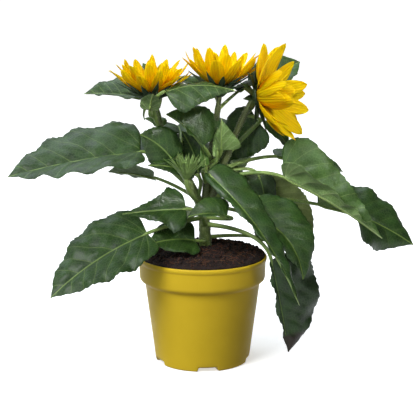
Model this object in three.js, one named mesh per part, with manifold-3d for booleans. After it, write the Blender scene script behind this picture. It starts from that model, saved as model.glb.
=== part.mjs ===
// A dwarf sunflower in a plastic grower's pot: three blooms and a bud over a crown of large leaves.
// Millimetres, +Z up. The origin is the middle of the pot's underside, on the ground.
import * as THREE from 'three';
import { mergeVertices } from 'three/addons/utils/BufferGeometryUtils.js';
import Module from 'manifold-3d';

const wasm = await Module();
wasm.setup();

const radians = THREE.MathUtils.degToRad;
const UP = new THREE.Vector3(0, 0, 1);

// ---- driving dimensions -------------------------------------------------------------------
const GAP = 0.3; // clearance between one piece and the next

const POT = {
  height: 108, rimRadius: 65, lip: 2, edge: 0.6, wall: 1.5, sides: 32,
  collarHeight: 22, collarRadius: 63.2, chamfer: 5, bodyRadius: 58,
  footRadius: 47.6, footWidth: 9, padRadius: 14, floorHeight: 4.5,
};
const NOTCHES = { count: 5, first: -83, width: 20, height: 4.5 }; // drainage arches under the foot

// Compost, heaped a little above the rim: at the wall, in the middle, and the size of its clods.
const SOIL = { edge: 1.5, crown: 7, lump: 1.2, rings: 6, sides: 18 };

// The main stem and the three boughs that part from its top, as Bezier curves with end radii.
const STEMS = {
  main: { path: [[3, 4, 104], [3, 4, 125], [2, 3, 140], [1, 3, 164]], radii: [6.5, 6] },
  middle: { path: [[3, 3, 160], [4, 3, 190], [13, 2, 235], [17, 1, 269]], radii: [4.2, 2.8] },
  left: { path: [[-1, 3, 154], [-8, 1, 180], [-40, -3, 222], [-50, -7, 262]], radii: [4.5, 3] },
  right: { path: [[5, 3, 152], [14, 3, 180], [28, 0, 225], [50, -8, 268]], radii: [4.2, 3] },
};
const STEM_MESH = { sides: 8, steps: 8 };

const LEAF = {
  thinnest: 1.2, slimmest: 0.0105, stalkRadius: 2, stalkEnd: 1.3, stalkLead: 0.4, stalkInBlade: 6,
  widest: 0.24, full: 2.1, shoulder: 1.3, point: 0.03, lobe: 0.12,
  along: 7, stalkSides: 5, stalkSteps: 4,
};

// Each leaf: the stem it grows from and the share of that stem's length below it; its stalk,
// which leaves along a compass bearing (0 is +X, 90 is +Y) and ends [out, up] from the stem; its
// blade, which runs [out, up] along a heading of its own; the bow of its midrib; how wide its
// [left, right] halves are and how steeply each rises beside the midrib, at the base and, where
// the blade twists, at the tip (degrees); where it is widest, how broad its shoulders are before
// that, how full it stays beyond and how far its lobes reach back past the stalk.
const LEAVES = [
  { name: 'far_left', stem: 'left', at: 0.24, bearing: 193, stalk: [52, 39],
    heading: 188, blade: [130, -22], bow: 3, half: [42, 46], rise: [-8, 34],
    widest: 0.12, full: 3.3 },
  { name: 'under_left', stem: 'main', at: 0.95, bearing: 168, stalk: [51, 24],
    heading: 168, blade: [48, 4], bow: 2, half: [18, 18], rise: [40, -25] },
  { name: 'low_left', stem: 'main', at: 0.72, bearing: 217, stalk: [69, -7],
    heading: 202, blade: [98, -55], bow: 6, half: [36, 42], rise: [-25, 33] },
  { name: 'twist_left', stem: 'main', at: 0.52, bearing: 238, stalk: [34, 26],
    heading: 198, blade: [64, -1], bow: 1, half: [26, 23], rise: [-46, 66],
    widest: 0.28, full: 0.6, shoulder: 1.1, lobe: 0 },
  { name: 'soil_left', stem: 'main', at: 0.32, bearing: 246, stalk: [24, 4],
    heading: 207, blade: [50, 1], bow: 3, half: [22, 24], rise: [-28, 50] },
  { name: 'centre_low', stem: 'main', at: 0.72, bearing: 301, stalk: [44, 9],
    heading: 199, blade: [40, 2], bow: 3, half: [12, 18], rise: [0, 60] },
  { name: 'front_right', stem: 'middle', at: 0.2, bearing: 268, stalk: [20, 16],
    heading: 322, blade: [112, -116], bow: 12, half: [24, 8], rise: [35, -55],
    tipRise: [0, 50], widest: 0.2, full: 1.5 },
  { name: 'right_up', stem: 'right', at: 0.32, bearing: 346, stalk: [67, 6],
    heading: 345, blade: [98, -56], bow: 4, half: [45, 24], rise: [72, 58],
    widest: 0.16, full: 0.95, lobe: 0.4 },
  { name: 'far_right', stem: 'right', at: 0.18, bearing: 4, stalk: [106, -11],
    heading: 358, blade: [97, -41], bow: 6, half: [38, 38], rise: [38, 60],
    tipRise: [45, -110], widest: 0.4, full: 1.7 },
  { name: 'right_back', stem: 'main', at: 0.88, bearing: 25, stalk: [60, 13],
    heading: 15, blade: [61, -52], bow: 4, half: [20, 28], rise: [-20, 70] },
  { name: 'right_low', stem: 'main', at: 0.93, bearing: 335, stalk: [51, -6],
    heading: 336, blade: [56, -60], bow: 14, half: [34, 16], rise: [42, -20] },
  { name: 'lowest_right', stem: 'main', at: 0.6, bearing: 331, stalk: [75, -28],
    heading: 6, blade: [18, -95], bow: 1, half: [44, 6], rise: [72, -50],
    widest: 0.35, full: 2.4 },
  { name: 'right_high', stem: 'right', at: 0.42, bearing: 19, stalk: [58, 10],
    heading: 14, blade: [72, -19], bow: 4, half: [20, 20], rise: [15, 10],
    tipRise: [45, 10], full: 3.5 },
  { name: 'dark_round', stem: 'right', at: 0.56, bearing: 27, stalk: [34, 29],
    heading: 172, blade: [33, -41], bow: 3, half: [25, 25], rise: [-75, 75] },
  { name: 'young_middle', stem: 'middle', at: 0.4, bearing: 305, stalk: [20, 15],
    heading: 268, blade: [4, 31], bow: -3, half: [20, 8], rise: [10, 20],
    widest: 0.15, full: 1.2 },
  { name: 'upper_centre', stem: 'middle', at: 0.44, bearing: 250, stalk: [20, 15],
    heading: 181, blade: [36, 31], bow: 3, half: [14, 32], rise: [0, 60] },
  { name: 'top_front_left', stem: 'left', at: 0.9, bearing: 261, stalk: [25, 8],
    heading: 285, blade: [16, 17], bow: 2, half: [10, 10], rise: [-15, 20] },
  { name: 'top_front', stem: 'left', at: 0.76, bearing: 278, stalk: [30, 43],
    heading: 3, blade: [68, 0], bow: 6, half: [10, 26], rise: [10, -62],
    widest: 0.22, full: 1.3, shoulder: 1.03, lobe: 0 },
  { name: 'left_top', stem: 'left', at: 0.78, bearing: 124, stalk: [32, 28],
    heading: 176, blade: [60, 4], bow: 2, half: [10, 28], rise: [-5, 36] },
  { name: 'behind_left_bloom', stem: 'left', at: 0.92, bearing: 88, stalk: [42, 24],
    heading: 138, blade: [20, 20], bow: 1, half: [12, 10], rise: [10, 10] },
  { name: 'behind_right_bloom', stem: 'right', at: 0.82, bearing: 56, stalk: [41, 24],
    heading: 23, blade: [40, 29], bow: 3, half: [26, 20], rise: [50, -20],
    full: 2.6 },
  { name: 'between_blooms', stem: 'middle', at: 0.8, bearing: 104, stalk: [26, 22],
    heading: 172, blade: [41, 11], bow: 3, half: [10, 12], rise: [0, 40] },
  { name: 'under_middle_bloom', stem: 'middle', at: 0.86, bearing: 28, stalk: [23, 17],
    heading: 14, blade: [25, 9], bow: 2, half: [10, 8], rise: [20, 10] },
  { name: 'small_left', stem: 'left', at: 0.58, bearing: 136, stalk: [17, 24],
    heading: 154, blade: [18, 8], bow: 1, half: [10, 12], rise: [10, 30] },
  { name: 'glossy_left', stem: 'left', at: 0.3, bearing: 220, stalk: [22, 26],
    heading: 198, blade: [32, 26], bow: 3, half: [19, 21], rise: [-80, 78],
    widest: 0.35 },
  { name: 'dark_hanging', stem: 'right', at: 0.37, bearing: 18, stalk: [42, -4],
    heading: 12, blade: [4, -38], bow: 3, half: [15, 17], rise: [80, -80] },
  { name: 'under_right_bloom', stem: 'right', at: 0.86, bearing: 22, stalk: [23, -8],
    heading: 0, blade: [24, -29], bow: 3, half: [10, 10], rise: [50, -30] },
  { name: 'low_back_right', stem: 'main', at: 0.36, bearing: 11, stalk: [53, -2],
    heading: 8, blade: [46, -28], bow: 5, half: [20, 20], rise: [10, 10] },
  { name: 'back_left', stem: 'left', at: 0.36, bearing: 104, stalk: [32, 27],
    heading: 100, blade: [96, -18], bow: 10, half: [33, 33], rise: [12, 12] },
  { name: 'back_far_left', stem: 'left', at: 0.2, bearing: 150, stalk: [58, 36],
    heading: 148, blade: [82, -2], bow: 8, half: [28, 28], rise: [12, 12] },
  { name: 'back_middle', stem: 'middle', at: 0.3, bearing: 80, stalk: [36, 18],
    heading: 76, blade: [104, -44], bow: 12, half: [36, 36], rise: [10, 10] },
  { name: 'back_right', stem: 'right', at: 0.25, bearing: 60, stalk: [38, 6],
    heading: 52, blade: [86, -50], bow: 10, half: [32, 32], rise: [8, 8] },
  { name: 'back_low', stem: 'main', at: 0.6, bearing: 104, stalk: [32, 8],
    heading: 104, blade: [64, -28], bow: 7, half: [25, 25], rise: [10, 10] },
  { name: 'back_upper_left', stem: 'left', at: 0.5, bearing: 85, stalk: [30, 24],
    heading: 97, blade: [64, -4], bow: 6, half: [23, 23], rise: [12, 12] },
  { name: 'back_upper_right', stem: 'middle', at: 0.6, bearing: 70, stalk: [34, 10],
    heading: 54, blade: [66, -22], bow: 6, half: [23, 23], rise: [10, 10] },
];

// Each bloom crowns a stem: the compass bearing and the height angle that it faces, how far its
// petals open from that axis (degrees), its petals' count and length, and how much further shut the
// petals on one side of it are (degrees).
const BLOOMS = [
  { name: 'left_bloom', stem: 'left', bearing: 90, facing: 87,
    open: 54, petals: 24, length: 39, shut: 0 },
  { name: 'middle_bloom', stem: 'middle', bearing: 50, facing: 86,
    open: 52, petals: 22, length: 42, shut: 0 },
  { name: 'right_bloom', stem: 'right', bearing: 326, facing: 10,
    open: 68, petals: 22, length: 46, shut: 44 },
];
const FLOWER = {
  discRadius: 10, discHeight: 5, ringRadius: 12.5, ringHeight: 2.5, calyxDepth: 10, sides: 16,
};
const PETAL = { width: 10, thickness: 0.9, curl: 12, layerTurn: 7, uneven: 0.16, claw: 0.1 };
const BRACT = { count: 12, width: 6, thickness: 0.9, length: 20, outside: 13, uneven: 8, claw: 0.12 };

// The bud: how it leaves its stem, its cup, and the bracts that close over it.
const BUD = {
  stem: 'left', at: 0.1, bearing: 244, stalk: [27, 29], stalkRadius: 2.6,
  radius: 9.5, depth: 9, dome: 6, bracts: 12, bractLength: 20, open: 18,
};

// ---- solids -------------------------------------------------------------------------------
function solid(geometry) {
  geometry.deleteAttribute('normal');
  geometry.deleteAttribute('uv');
  const merged = mergeVertices(geometry, 1e-4);
  return new wasm.Manifold(new wasm.Mesh({
    numProp: 3,
    vertProperties: new Float32Array(merged.attributes.position.array),
    triVerts: new Uint32Array(merged.index.array),
  }));
}

function geometryOf(manifold) {
  const mesh = manifold.getMesh();
  const geometry = new THREE.BufferGeometry();
  geometry.setAttribute('position', new THREE.BufferAttribute(mesh.vertProperties, 3));
  geometry.setIndex(new THREE.BufferAttribute(mesh.triVerts, 1));
  return geometry;
}

function warp(geometry, place) {
  const position = geometry.attributes.position;
  for (let i = 0; i < position.count; i += 1) {
    const moved = place(position.getX(i), position.getY(i), position.getZ(i));
    position.setXYZ(i, moved.x, moved.y, moved.z);
  }
  return geometry;
}

function lathe(points, sides) {
  const profile = points.map(([x, y]) => new THREE.Vector2(x, y));
  return new THREE.LatheGeometry(profile, sides).rotateX(Math.PI / 2);
}

// A round limb of changing radius along a curve, with flat ends that may run on past the curve's.
function limb(curve, radii, mesh, side, before = 0, beyond = 0) {
  const tube = new THREE.CylinderGeometry(1, 1, 1, mesh.sides, mesh.steps);
  return warp(tube, (x, y, z) => {
    const t = THREE.MathUtils.clamp(y + 0.5, 0, 1);
    const tangent = curve.getTangent(t);
    const across = side.clone().addScaledVector(tangent, -side.dot(tangent)).normalize();
    const normal = new THREE.Vector3().crossVectors(tangent, across);
    const radius = THREE.MathUtils.lerp(radii[0], radii[1], t);
    const past = t === 0 ? -before : beyond * (t === 1);
    return curve.getPoint(t).addScaledVector(tangent, past)
      .addScaledVector(across, x * radius).addScaledVector(normal, -z * radius);
  });
}

function compass(degrees) {
  return new THREE.Vector3(Math.cos(radians(degrees)), Math.sin(radians(degrees)), 0);
}

// A repeatable number from 0 to 1 for the i-th of a row of small parts.
function jitter(i) {
  return (i * 0.6180339887) % 1;
}

const group = new THREE.Group();

function add(name, manifold, color, roughness) {
  const mesh = new THREE.Mesh(
    geometryOf(manifold), new THREE.MeshStandardMaterial({ color, roughness, metalness: 0 }),
  );
  mesh.name = name;
  group.add(mesh);
}

// ---- pot and soil -------------------------------------------------------------------------
const collarFoot = POT.height - POT.collarHeight;
const bodyTop = collarFoot - POT.chamfer;
const throat = POT.rimRadius - POT.lip; // radius inside the rim

function potSolid() {
  const { height, rimRadius, edge, wall, collarRadius, bodyRadius, footRadius } = POT;
  const { footWidth, padRadius, floorHeight } = POT;
  const flare = 1; // the foot's and the pad's sloping sides
  const rimHeight = 4;
  let pot = solid(lathe([
    [0, 0], [padRadius, 0], [padRadius + flare, floorHeight],
    [footRadius - footWidth - flare, floorHeight], [footRadius - footWidth, 0],
    [footRadius - flare, 0], [footRadius, flare], [bodyRadius, bodyTop],
    [collarRadius, collarFoot], [rimRadius - edge, height - rimHeight],
    [rimRadius, height - 2 * edge], [rimRadius - edge, height], [throat, height],
    [throat, height - rimHeight], [collarRadius - wall, collarFoot + 1], [bodyRadius - wall, bodyTop],
    [footRadius - wall, floorHeight + wall], [0, floorHeight + wall],
  ], POT.sides));
  for (let i = 0; i < NOTCHES.count; i += 1) {
    const notch = new THREE.BoxGeometry(footWidth * 3, NOTCHES.width, NOTCHES.height * 2);
    notch.translate(footRadius, 0, 0).rotateZ(radians(NOTCHES.first + (i * 360) / NOTCHES.count));
    pot = pot.subtract(solid(notch));
  }
  return pot;
}

function soilSolid() {
  const { height, bodyRadius, footRadius, wall, collarRadius, floorHeight } = POT;
  const slack = wall + 2 * GAP;
  const floor = floorHeight + wall + GAP;
  const profile = [
    [0, floor], [footRadius - slack, floor], [bodyRadius - slack, bodyTop],
    [collarRadius - slack - 1, collarFoot + 2], [throat - 2 * GAP, height - 4],
  ];
  for (let i = 0; i <= SOIL.rings; i += 1) {
    const r = (1 - i / SOIL.rings) * (throat - 2 * GAP);
    profile.push([r, height + SOIL.edge + SOIL.crown * (1 - (r / throat) ** 2)]);
  }
  return solid(warp(lathe(profile, SOIL.sides), (x, y, z) => {
    const clod = Math.sin(x * 0.37 + y * 0.23) * Math.cos(y * 0.41 - x * 0.19);
    return new THREE.Vector3(x, y, z > height ? z + SOIL.lump * clod : z);
  }));
}

// ---- stems --------------------------------------------------------------------------------
const SIDEWAYS = new THREE.Vector3(0, 1, 0);
const stemCurves = Object.fromEntries(Object.entries(STEMS).map(([name, { path }]) => (
  [name, new THREE.CubicBezierCurve3(...path.map((p) => new THREE.Vector3(...p)))]
)));

function stemSolid(name, extra = 0) {
  const radii = STEMS[name].radii.map((radius) => radius + extra);
  return solid(limb(stemCurves[name], radii, STEM_MESH, SIDEWAYS, extra, extra));
}

const grownStems = Object.keys(STEMS).map((name) => stemSolid(name, GAP));

function clearOfStems(piece) {
  return grownStems.reduce((rest, stem) => rest.subtract(stem), piece);
}

// ---- leaves -------------------------------------------------------------------------------
// Half the blade's width at a share t of its length: full shoulders, then a taper to the tip.
function outline(t, { widest = LEAF.widest, full = LEAF.full, shoulder = LEAF.shoulder }) {
  if (t < widest) return Math.sqrt(1 - ((t - widest) / (widest * shoulder)) ** 2);
  return Math.max(LEAF.point, 1 - ((t - widest) / (1 - widest)) ** full);
}

function reachFrom(start, degrees, [out, up]) {
  return start.clone().addScaledVector(compass(degrees), out).addScaledVector(UP, up);
}

function stalkCurve(foot, base, arrival) {
  const lead = arrival.clone().normalize().multiplyScalar(-LEAF.stalkLead * base.distanceTo(foot));
  return new THREE.QuadraticBezierCurve3(foot, base.clone().add(lead), base);
}

function leafCurves(row) {
  const side = new THREE.Vector3().crossVectors(UP, compass(row.heading));
  const foot = stemCurves[row.stem].getPoint(row.at);
  const base = reachFrom(foot, row.bearing, row.stalk);
  const tip = reachFrom(base, row.heading, row.blade);
  const lift = tip.clone().sub(base).cross(side).normalize().multiplyScalar(2 * row.bow);
  const middle = base.clone().lerp(tip, 0.5).add(lift);
  const length = Math.hypot(...row.stalk) + Math.hypot(...row.blade);
  return {
    side,
    thickness: Math.max(LEAF.thinnest, LEAF.slimmest * length),
    stalk: stalkCurve(foot, base, middle.clone().sub(base)),
    blade: new THREE.QuadraticBezierCurve3(base, middle, tip),
  };
}

function bladeGeometry(row, curves) {
  const tipRise = row.tipRise ?? row.rise;
  const plate = new THREE.BoxGeometry(1, 2, 1, LEAF.along, 2, 1);
  return warp(plate, (x, y, z) => {
    const t = x + 0.5;
    const tangent = curves.blade.getTangent(t);
    const across = curves.side.clone().addScaledVector(tangent, -curves.side.dot(tangent)).normalize();
    const normal = new THREE.Vector3().crossVectors(tangent, across);
    const rise = row.rise.map((angle, i) => radians(THREE.MathUtils.lerp(angle, tipRise[i], t)));
    const half = y > 0 ? 0 : 1;
    const reach = Math.abs(y) * outline(t, row) * row.half[half];
    const back = (row.lobe ?? LEAF.lobe) * row.half[half] * (1 - t) ** 3 * y * y;
    const facing = y === 0 ? (rise[0] - rise[1]) / 2 : Math.sign(y) * rise[half];
    return curves.blade.getPoint(t)
      .addScaledVector(tangent, -back)
      .addScaledVector(across, Math.sign(y) * reach * Math.cos(rise[half]))
      .addScaledVector(normal, reach * Math.sin(rise[half]))
      .addScaledVector(across, -z * curves.thickness * Math.sin(facing))
      .addScaledVector(normal, z * curves.thickness * Math.cos(facing));
  });
}

function leafSolid(row) {
  const curves = leafCurves(row);
  const mesh = { sides: LEAF.stalkSides, steps: LEAF.stalkSteps };
  const radii = [LEAF.stalkRadius, LEAF.stalkEnd];
  const stalk = limb(curves.stalk, radii, mesh, curves.side, 0, LEAF.stalkInBlade);
  return solid(stalk).add(solid(bladeGeometry(row, curves)));
}

// ---- blooms and bud -----------------------------------------------------------------------
const SPOKE_STEPS = 3;

// A thin pointed blade that leaves a ring of the given radius and height, lies at the given angle
// from the flower's axis (+Z) and curls back towards it.
function spoke({ radius, height, length, width, thickness, open, curl, claw, turn }) {
  const plate = new THREE.BoxGeometry(1, 2, 1, SPOKE_STEPS, 1, 1);
  warp(plate, (x, y, z) => {
    const t = x + 0.5;
    const half = width * 0.5 * Math.max(0.08, Math.sin(Math.PI * (claw + (1 - claw) * t) ** 0.9));
    const angle = radians(open - curl * t);
    const along = new THREE.Vector3(Math.sin(angle), 0, Math.cos(angle));
    const normal = new THREE.Vector3(-Math.cos(angle), 0, Math.sin(angle));
    return new THREE.Vector3(radius, y * half, height).addScaledVector(along, t * length)
      .addScaledVector(normal, z * thickness);
  });
  return solid(plate.rotateZ(turn));
}

function ringOf(count, each) {
  return Array.from({ length: count }, (_, i) => spoke(each(i, (i / count) * 2 * Math.PI)));
}

function frameAt(origin, axis) {
  const side = new THREE.Vector3(-axis.y, axis.x, 0).normalize();
  const front = new THREE.Vector3().crossVectors(side, axis);
  return new THREE.Matrix4().makeBasis(front, side, axis).setPosition(origin).toArray();
}

function bloomFrame(row) {
  const axis = compass(row.bearing).multiplyScalar(Math.cos(radians(row.facing)))
    .addScaledVector(UP, Math.sin(radians(row.facing)));
  return frameAt(stemCurves[row.stem].getPoint(1), axis);
}

function cupSolid(radius, depth, extra = 0) {
  const neck = 3.4;
  return solid(lathe([
    [0, -2], [neck, -2], [radius * 0.6, depth * 0.2], [radius * 0.95 + extra, depth * 0.6],
    [radius + extra, depth + extra / 2], [0, depth + extra / 2],
  ], FLOWER.sides));
}

function raysSolid(row) {
  const { ringRadius, ringHeight, discRadius, calyxDepth } = FLOWER;
  const inner = discRadius + GAP;
  const foot = calyxDepth + GAP;
  const rim = foot + ringHeight;
  const section = [[inner, foot], [ringRadius, foot], [ringRadius, rim], [inner, rim], [inner, foot]];
  const ring = solid(lathe(section, FLOWER.sides));
  return ringOf(row.petals, (i, turn) => ({
    radius: ringRadius - 1.6,
    height: calyxDepth + (i % 2 ? 0.9 : 2.2),
    length: row.length * (1 - PETAL.uneven * jitter(i)),
    width: PETAL.width,
    thickness: PETAL.thickness,
    open: row.open + (i % 2 ? 1 : -1) * PETAL.layerTurn + 4 * (jitter(i + 7) - 0.5)
      - row.shut * Math.max(0, -Math.sin(turn)) ** 4,
    curl: PETAL.curl,
    claw: PETAL.claw,
    turn,
  })).reduce((rays, petal) => rays.add(petal), ring);
}

function discSolid() {
  const { discRadius: r, discHeight: h, calyxDepth } = FLOWER;
  const d = calyxDepth + GAP;
  return solid(lathe([
    [0, d], [r, d], [r, d + h * 0.3], [r * 0.8, d + h * 0.8], [r * 0.4, d + h], [0, d + h * 0.9],
  ], FLOWER.sides));
}

function calyxSolid(row) {
  return ringOf(BRACT.count, (i, turn) => ({
    radius: FLOWER.ringRadius * 0.8,
    height: FLOWER.calyxDepth * 0.5,
    length: BRACT.length * (0.8 + 0.3 * jitter(i)),
    width: BRACT.width,
    thickness: BRACT.thickness,
    open: row.open + BRACT.outside + BRACT.uneven * jitter(i + 3),
    curl: 0,
    claw: BRACT.claw,
    turn,
  })).reduce((calyx, bract) => calyx.add(bract), cupSolid(FLOWER.ringRadius, FLOWER.calyxDepth));
}

function budSolid() {
  const foot = stemCurves[BUD.stem].getPoint(BUD.at);
  const base = reachFrom(foot, BUD.bearing, BUD.stalk);
  const radii = [BUD.stalkRadius, BUD.stalkRadius];
  const mesh = { sides: STEM_MESH.sides, steps: LEAF.stalkSteps };
  const stalk = limb(stalkCurve(foot, base, UP), radii, mesh, SIDEWAYS, 0, 2);
  const { radius, depth, dome } = BUD;
  const heart = solid(lathe([
    [0, depth / 2], [radius * 0.7, depth / 2], [radius * 0.7, depth + dome * 0.5], [0, depth + dome],
  ], FLOWER.sides));
  const bud = ringOf(BUD.bracts, (i, turn) => ({
    radius: radius * 0.8,
    height: depth * 0.5,
    length: BUD.bractLength * (0.8 + 0.3 * jitter(i)),
    width: BRACT.width,
    thickness: BRACT.thickness,
    open: BUD.open + (i % 2 ? 14 : 0),
    curl: 10,
    claw: BRACT.claw,
    turn,
  })).reduce((whole, bract) => whole.add(bract), cupSolid(radius, depth).add(heart));
  return bud.translate(base.toArray()).add(solid(stalk));
}

// ---- the plant ----------------------------------------------------------------------------
add('pot', potSolid(), '#c4a82e', 0.4);
add('soil', soilSolid().subtract(stemSolid('main', GAP)), '#2b1812', 1);

const placed = [];
for (const name of Object.keys(STEMS)) {
  const stem = placed.reduce((rest, other) => rest.subtract(stemSolid(other, GAP)), stemSolid(name));
  placed.push(name);
  add(`${name}_stem`, stem, '#6f7f3f', 0.7);
}
for (const row of LEAVES) {
  add(`${row.name}_leaf`, clearOfStems(leafSolid(row)), '#3b5a35', 0.6);
}
for (const row of BLOOMS) {
  const place = bloomFrame(row);
  const cup = cupSolid(FLOWER.ringRadius, FLOWER.calyxDepth, GAP);
  add(`${row.name}_rays`, raysSolid(row).subtract(cup).transform(place), '#f2c10f', 0.5);
  add(`${row.name}_disc`, discSolid().transform(place), '#5a3a16', 0.9);
  add(`${row.name}_calyx`, clearOfStems(calyxSolid(row).transform(place)), '#4f6b33', 0.7);
}
add('bud', clearOfStems(budSolid()), '#5f7f35', 0.7);

export default group;
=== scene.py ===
# %% [markdown]
# # A dwarf sunflower in a grower's pot
# This lesson dresses a measured plant: a mustard plastic pot, a short hairy stem that parts into
# three boughs, some three dozen large leaves, three blooms and a bud. The plain solids come from
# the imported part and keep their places. Every piece here is drawn again with finer steps, by the
# same rules and from the same sizes, so nothing has to be fitted by eye.

import math
from types import SimpleNamespace as Sizes

import bpy
import numpy as np
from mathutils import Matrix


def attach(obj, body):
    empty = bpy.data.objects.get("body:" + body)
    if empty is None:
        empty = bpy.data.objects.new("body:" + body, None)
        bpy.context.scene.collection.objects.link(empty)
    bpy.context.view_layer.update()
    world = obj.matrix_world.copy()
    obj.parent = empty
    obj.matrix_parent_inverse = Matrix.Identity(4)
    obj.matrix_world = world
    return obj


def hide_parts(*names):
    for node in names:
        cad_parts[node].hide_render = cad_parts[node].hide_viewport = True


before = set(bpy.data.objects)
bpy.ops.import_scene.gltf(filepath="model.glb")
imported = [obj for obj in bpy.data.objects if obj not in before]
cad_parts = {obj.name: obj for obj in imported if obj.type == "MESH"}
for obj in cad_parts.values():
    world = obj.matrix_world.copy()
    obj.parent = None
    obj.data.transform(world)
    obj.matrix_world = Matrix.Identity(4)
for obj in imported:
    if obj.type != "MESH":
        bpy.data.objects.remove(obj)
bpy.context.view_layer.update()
BODY = "root"

# %% [markdown]
# Blender counts in metres, a plant is easier to think of in millimetres. All sizes below are
# millimetres, and one factor turns them into metres when a mesh is made.

# %% Directions and repeatable numbers
MM = 0.001
UP = np.array((0.0, 0.0, 1.0))
GOLDEN_SHARE = 0.6180339887


def unit(vectors):
    return vectors / np.maximum(np.linalg.norm(vectors, axis=-1, keepdims=True), 1e-9)


def compass(degrees):
    """The level direction on a bearing, counted from +X towards +Y."""
    angle = math.radians(degrees)
    return np.array((math.cos(angle), math.sin(angle), 0.0))


def jitter(i):
    """A repeatable number from 0 to 1 for the i-th of a row of small parts."""
    return (i * GOLDEN_SHARE) % 1


print("five repeatable numbers:", [round(jitter(i), 2) for i in range(5)])

# %% [markdown]
# A plant has thousands of small shapes, and Blender is quicker with a few large meshes. So each
# piece is heaped up first, shape by shape, and becomes one mesh at the end. A shape can carry
# marks, three numbers on each point that say where on its leaf or petal it lies. The finishes read
# them.

# %% A heap of small shapes
class Heap:
    """Gathers shapes: their points, their faces, the finish of each face and marks by name."""

    def __init__(self):
        self.shapes = []

    def add(self, points, faces, finish=0, **marks):
        """Adds one shape. `finish` is the number of a material, or one number for each face."""
        points = np.asarray(points, float).reshape(-1, 3)
        marks = {name: np.asarray(values, float).reshape(-1, 3) for name, values in marks.items()}
        self.shapes.append((points, np.asarray(faces), np.broadcast_to(finish, len(faces)), marks))

    def join(self, other):
        self.shapes += other.shapes

    def marked(self, name):
        """One mark for all the points, nought on the shapes that don't carry it."""
        return np.concatenate([marks.get(name, 0 * points) for points, _, _, marks in self.shapes])


def grid_faces(rows, columns, ring=False):
    """Four-cornered faces over a grid of points, closed into a tube when `ring` is set."""
    wide = columns if ring else columns - 1
    row, column = np.meshgrid(np.arange(rows - 1), np.arange(wide), indexing="ij")
    here = row * columns + column
    beside = row * columns + (column + 1) % columns
    return np.stack((here, beside, beside + columns, here + columns), -1).reshape(-1, 4)


print("a grid of 3 by 4 points has", len(grid_faces(3, 4)), "faces")

# %% [markdown]
# A piece rides on the plant's one body, and the solids it stands for are hidden.

# %% From a heap to a piece
def make_piece(name, heap, materials, replaces=()):
    """Turns a heap into a mesh that rides with the plant and stands for the named solids."""
    faces, finishes, total = [], [], 0
    for points, shape_faces, finish, _ in heap.shapes:
        faces += (shape_faces + total).tolist()
        finishes += finish.tolist()
        total += len(points)
    corners = np.concatenate([points for points, *_ in heap.shapes]) * MM
    mesh = bpy.data.meshes.new(name)
    mesh.from_pydata(corners.tolist(), [], faces)
    for material in materials:
        mesh.materials.append(material)
    mesh.polygons.foreach_set("material_index", finishes)
    mesh.polygons.foreach_set("use_smooth", [True] * len(faces))
    for mark in sorted({mark for *_, marks in heap.shapes for mark in marks}):
        layer = mesh.attributes.new(mark, "FLOAT_VECTOR", "POINT")
        layer.data.foreach_set("vector", heap.marked(mark).astype(np.float32).ravel())
    mesh.update()
    thing = bpy.data.objects.new(name, mesh)
    bpy.context.collection.objects.link(thing)
    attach(thing, BODY)
    if replaces:
        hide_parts(*replaces)
    return thing


print("pieces ride on the body", BODY)

# %% [markdown]
# A stem or a leaf's midrib is a Bezier curve. Mixing its points again and again by the share t
# gives the curve's own point, and the same mixing of the steps between them gives its direction.

# %% Bezier curves
def along_curve(path, t):
    layers = [np.repeat(np.asarray(p, float)[None], len(t), 0) for p in path]
    while len(layers) > 1:
        layers = [a + (b - a) * t[:, None] for a, b in zip(layers, layers[1:])]
    return layers[0]


def way_of(path, t):
    return unit(along_curve([np.subtract(b, a) for a, b in zip(path, path[1:])], t))


def frames_along(path, t, side):
    """Point, direction, sideways and outward vectors at each share t of a curve."""
    way = way_of(path, t)
    across = unit(side - way * (way @ side)[:, None])
    return along_curve(path, t), way, across, np.cross(way, across)


print("halfway up a bow:", along_curve([(0, 0, 0), (4, 0, 4), (0, 0, 8)], np.array([0.5]))[0])

# %% [markdown]
# Rings of points round such a curve make a limb: a stem, a stalk, a fibre or a disc tube.

# %% Round limbs
def limb(path, radius_at, side, sides, steps, ribs=0, rib_deep=0.0):
    """The skin of a limb: rings of points along a curve, and the faces between them."""
    t = np.linspace(0, 1, steps + 1)
    centre, way, across, out = frames_along(path, t, side)
    turn = np.linspace(0, 2 * math.pi, sides, endpoint=False)
    size = radius_at(t)[:, None] + rib_deep * np.cos(ribs * turn)
    ring = across[:, None] * np.cos(turn)[:, None] + out[:, None] * np.sin(turn)[:, None]
    return centre[:, None] + ring * size[..., None], grid_faces(steps + 1, sides, ring=True)


def taper(first, last):
    """A radius that changes evenly along a limb."""
    return lambda t: first + (last - first) * t


ANY_SIDE = np.array((0.31, 0.87, 0.38))  # a side for thin limbs, along none of their directions
print("a limb narrows from 2 to 1 mm:", taper(2, 1)(np.linspace(0, 1, 3)))

# %% [markdown]
# ## Colours and nodes
# Colours are written as on a paint card, in sRGB hex, and one function turns them linear, because
# Blender mixes light and not paint codes. One small function adds any node with its settings and
# links, so that a material reads as a short list of what it is made from.

# %% Colour and node helpers
def linear(code):
    """sRGB hex to the linear colour that Blender works in."""
    parts = [int(code[i:i + 2], 16) / 255 for i in (1, 3, 5)]
    light = [c / 12.92 if c <= 0.04045 else ((c + 0.055) / 1.055) ** 2.4 for c in parts]
    return (*light, 1.0)


def plug(tree, made, inputs):
    """Fills a node's inputs, each from a value, a hex colour, a socket or a node's live output."""
    for key, value in inputs.items() if isinstance(inputs, dict) else enumerate(inputs):
        if isinstance(value, str):
            value = linear(value)
        if isinstance(value, bpy.types.Node):
            value = next(output for output in value.outputs if output.enabled)
        if isinstance(value, bpy.types.NodeSocket):
            tree.links.new(value, made.inputs[key])
        else:
            made.inputs[key].default_value = value


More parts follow.
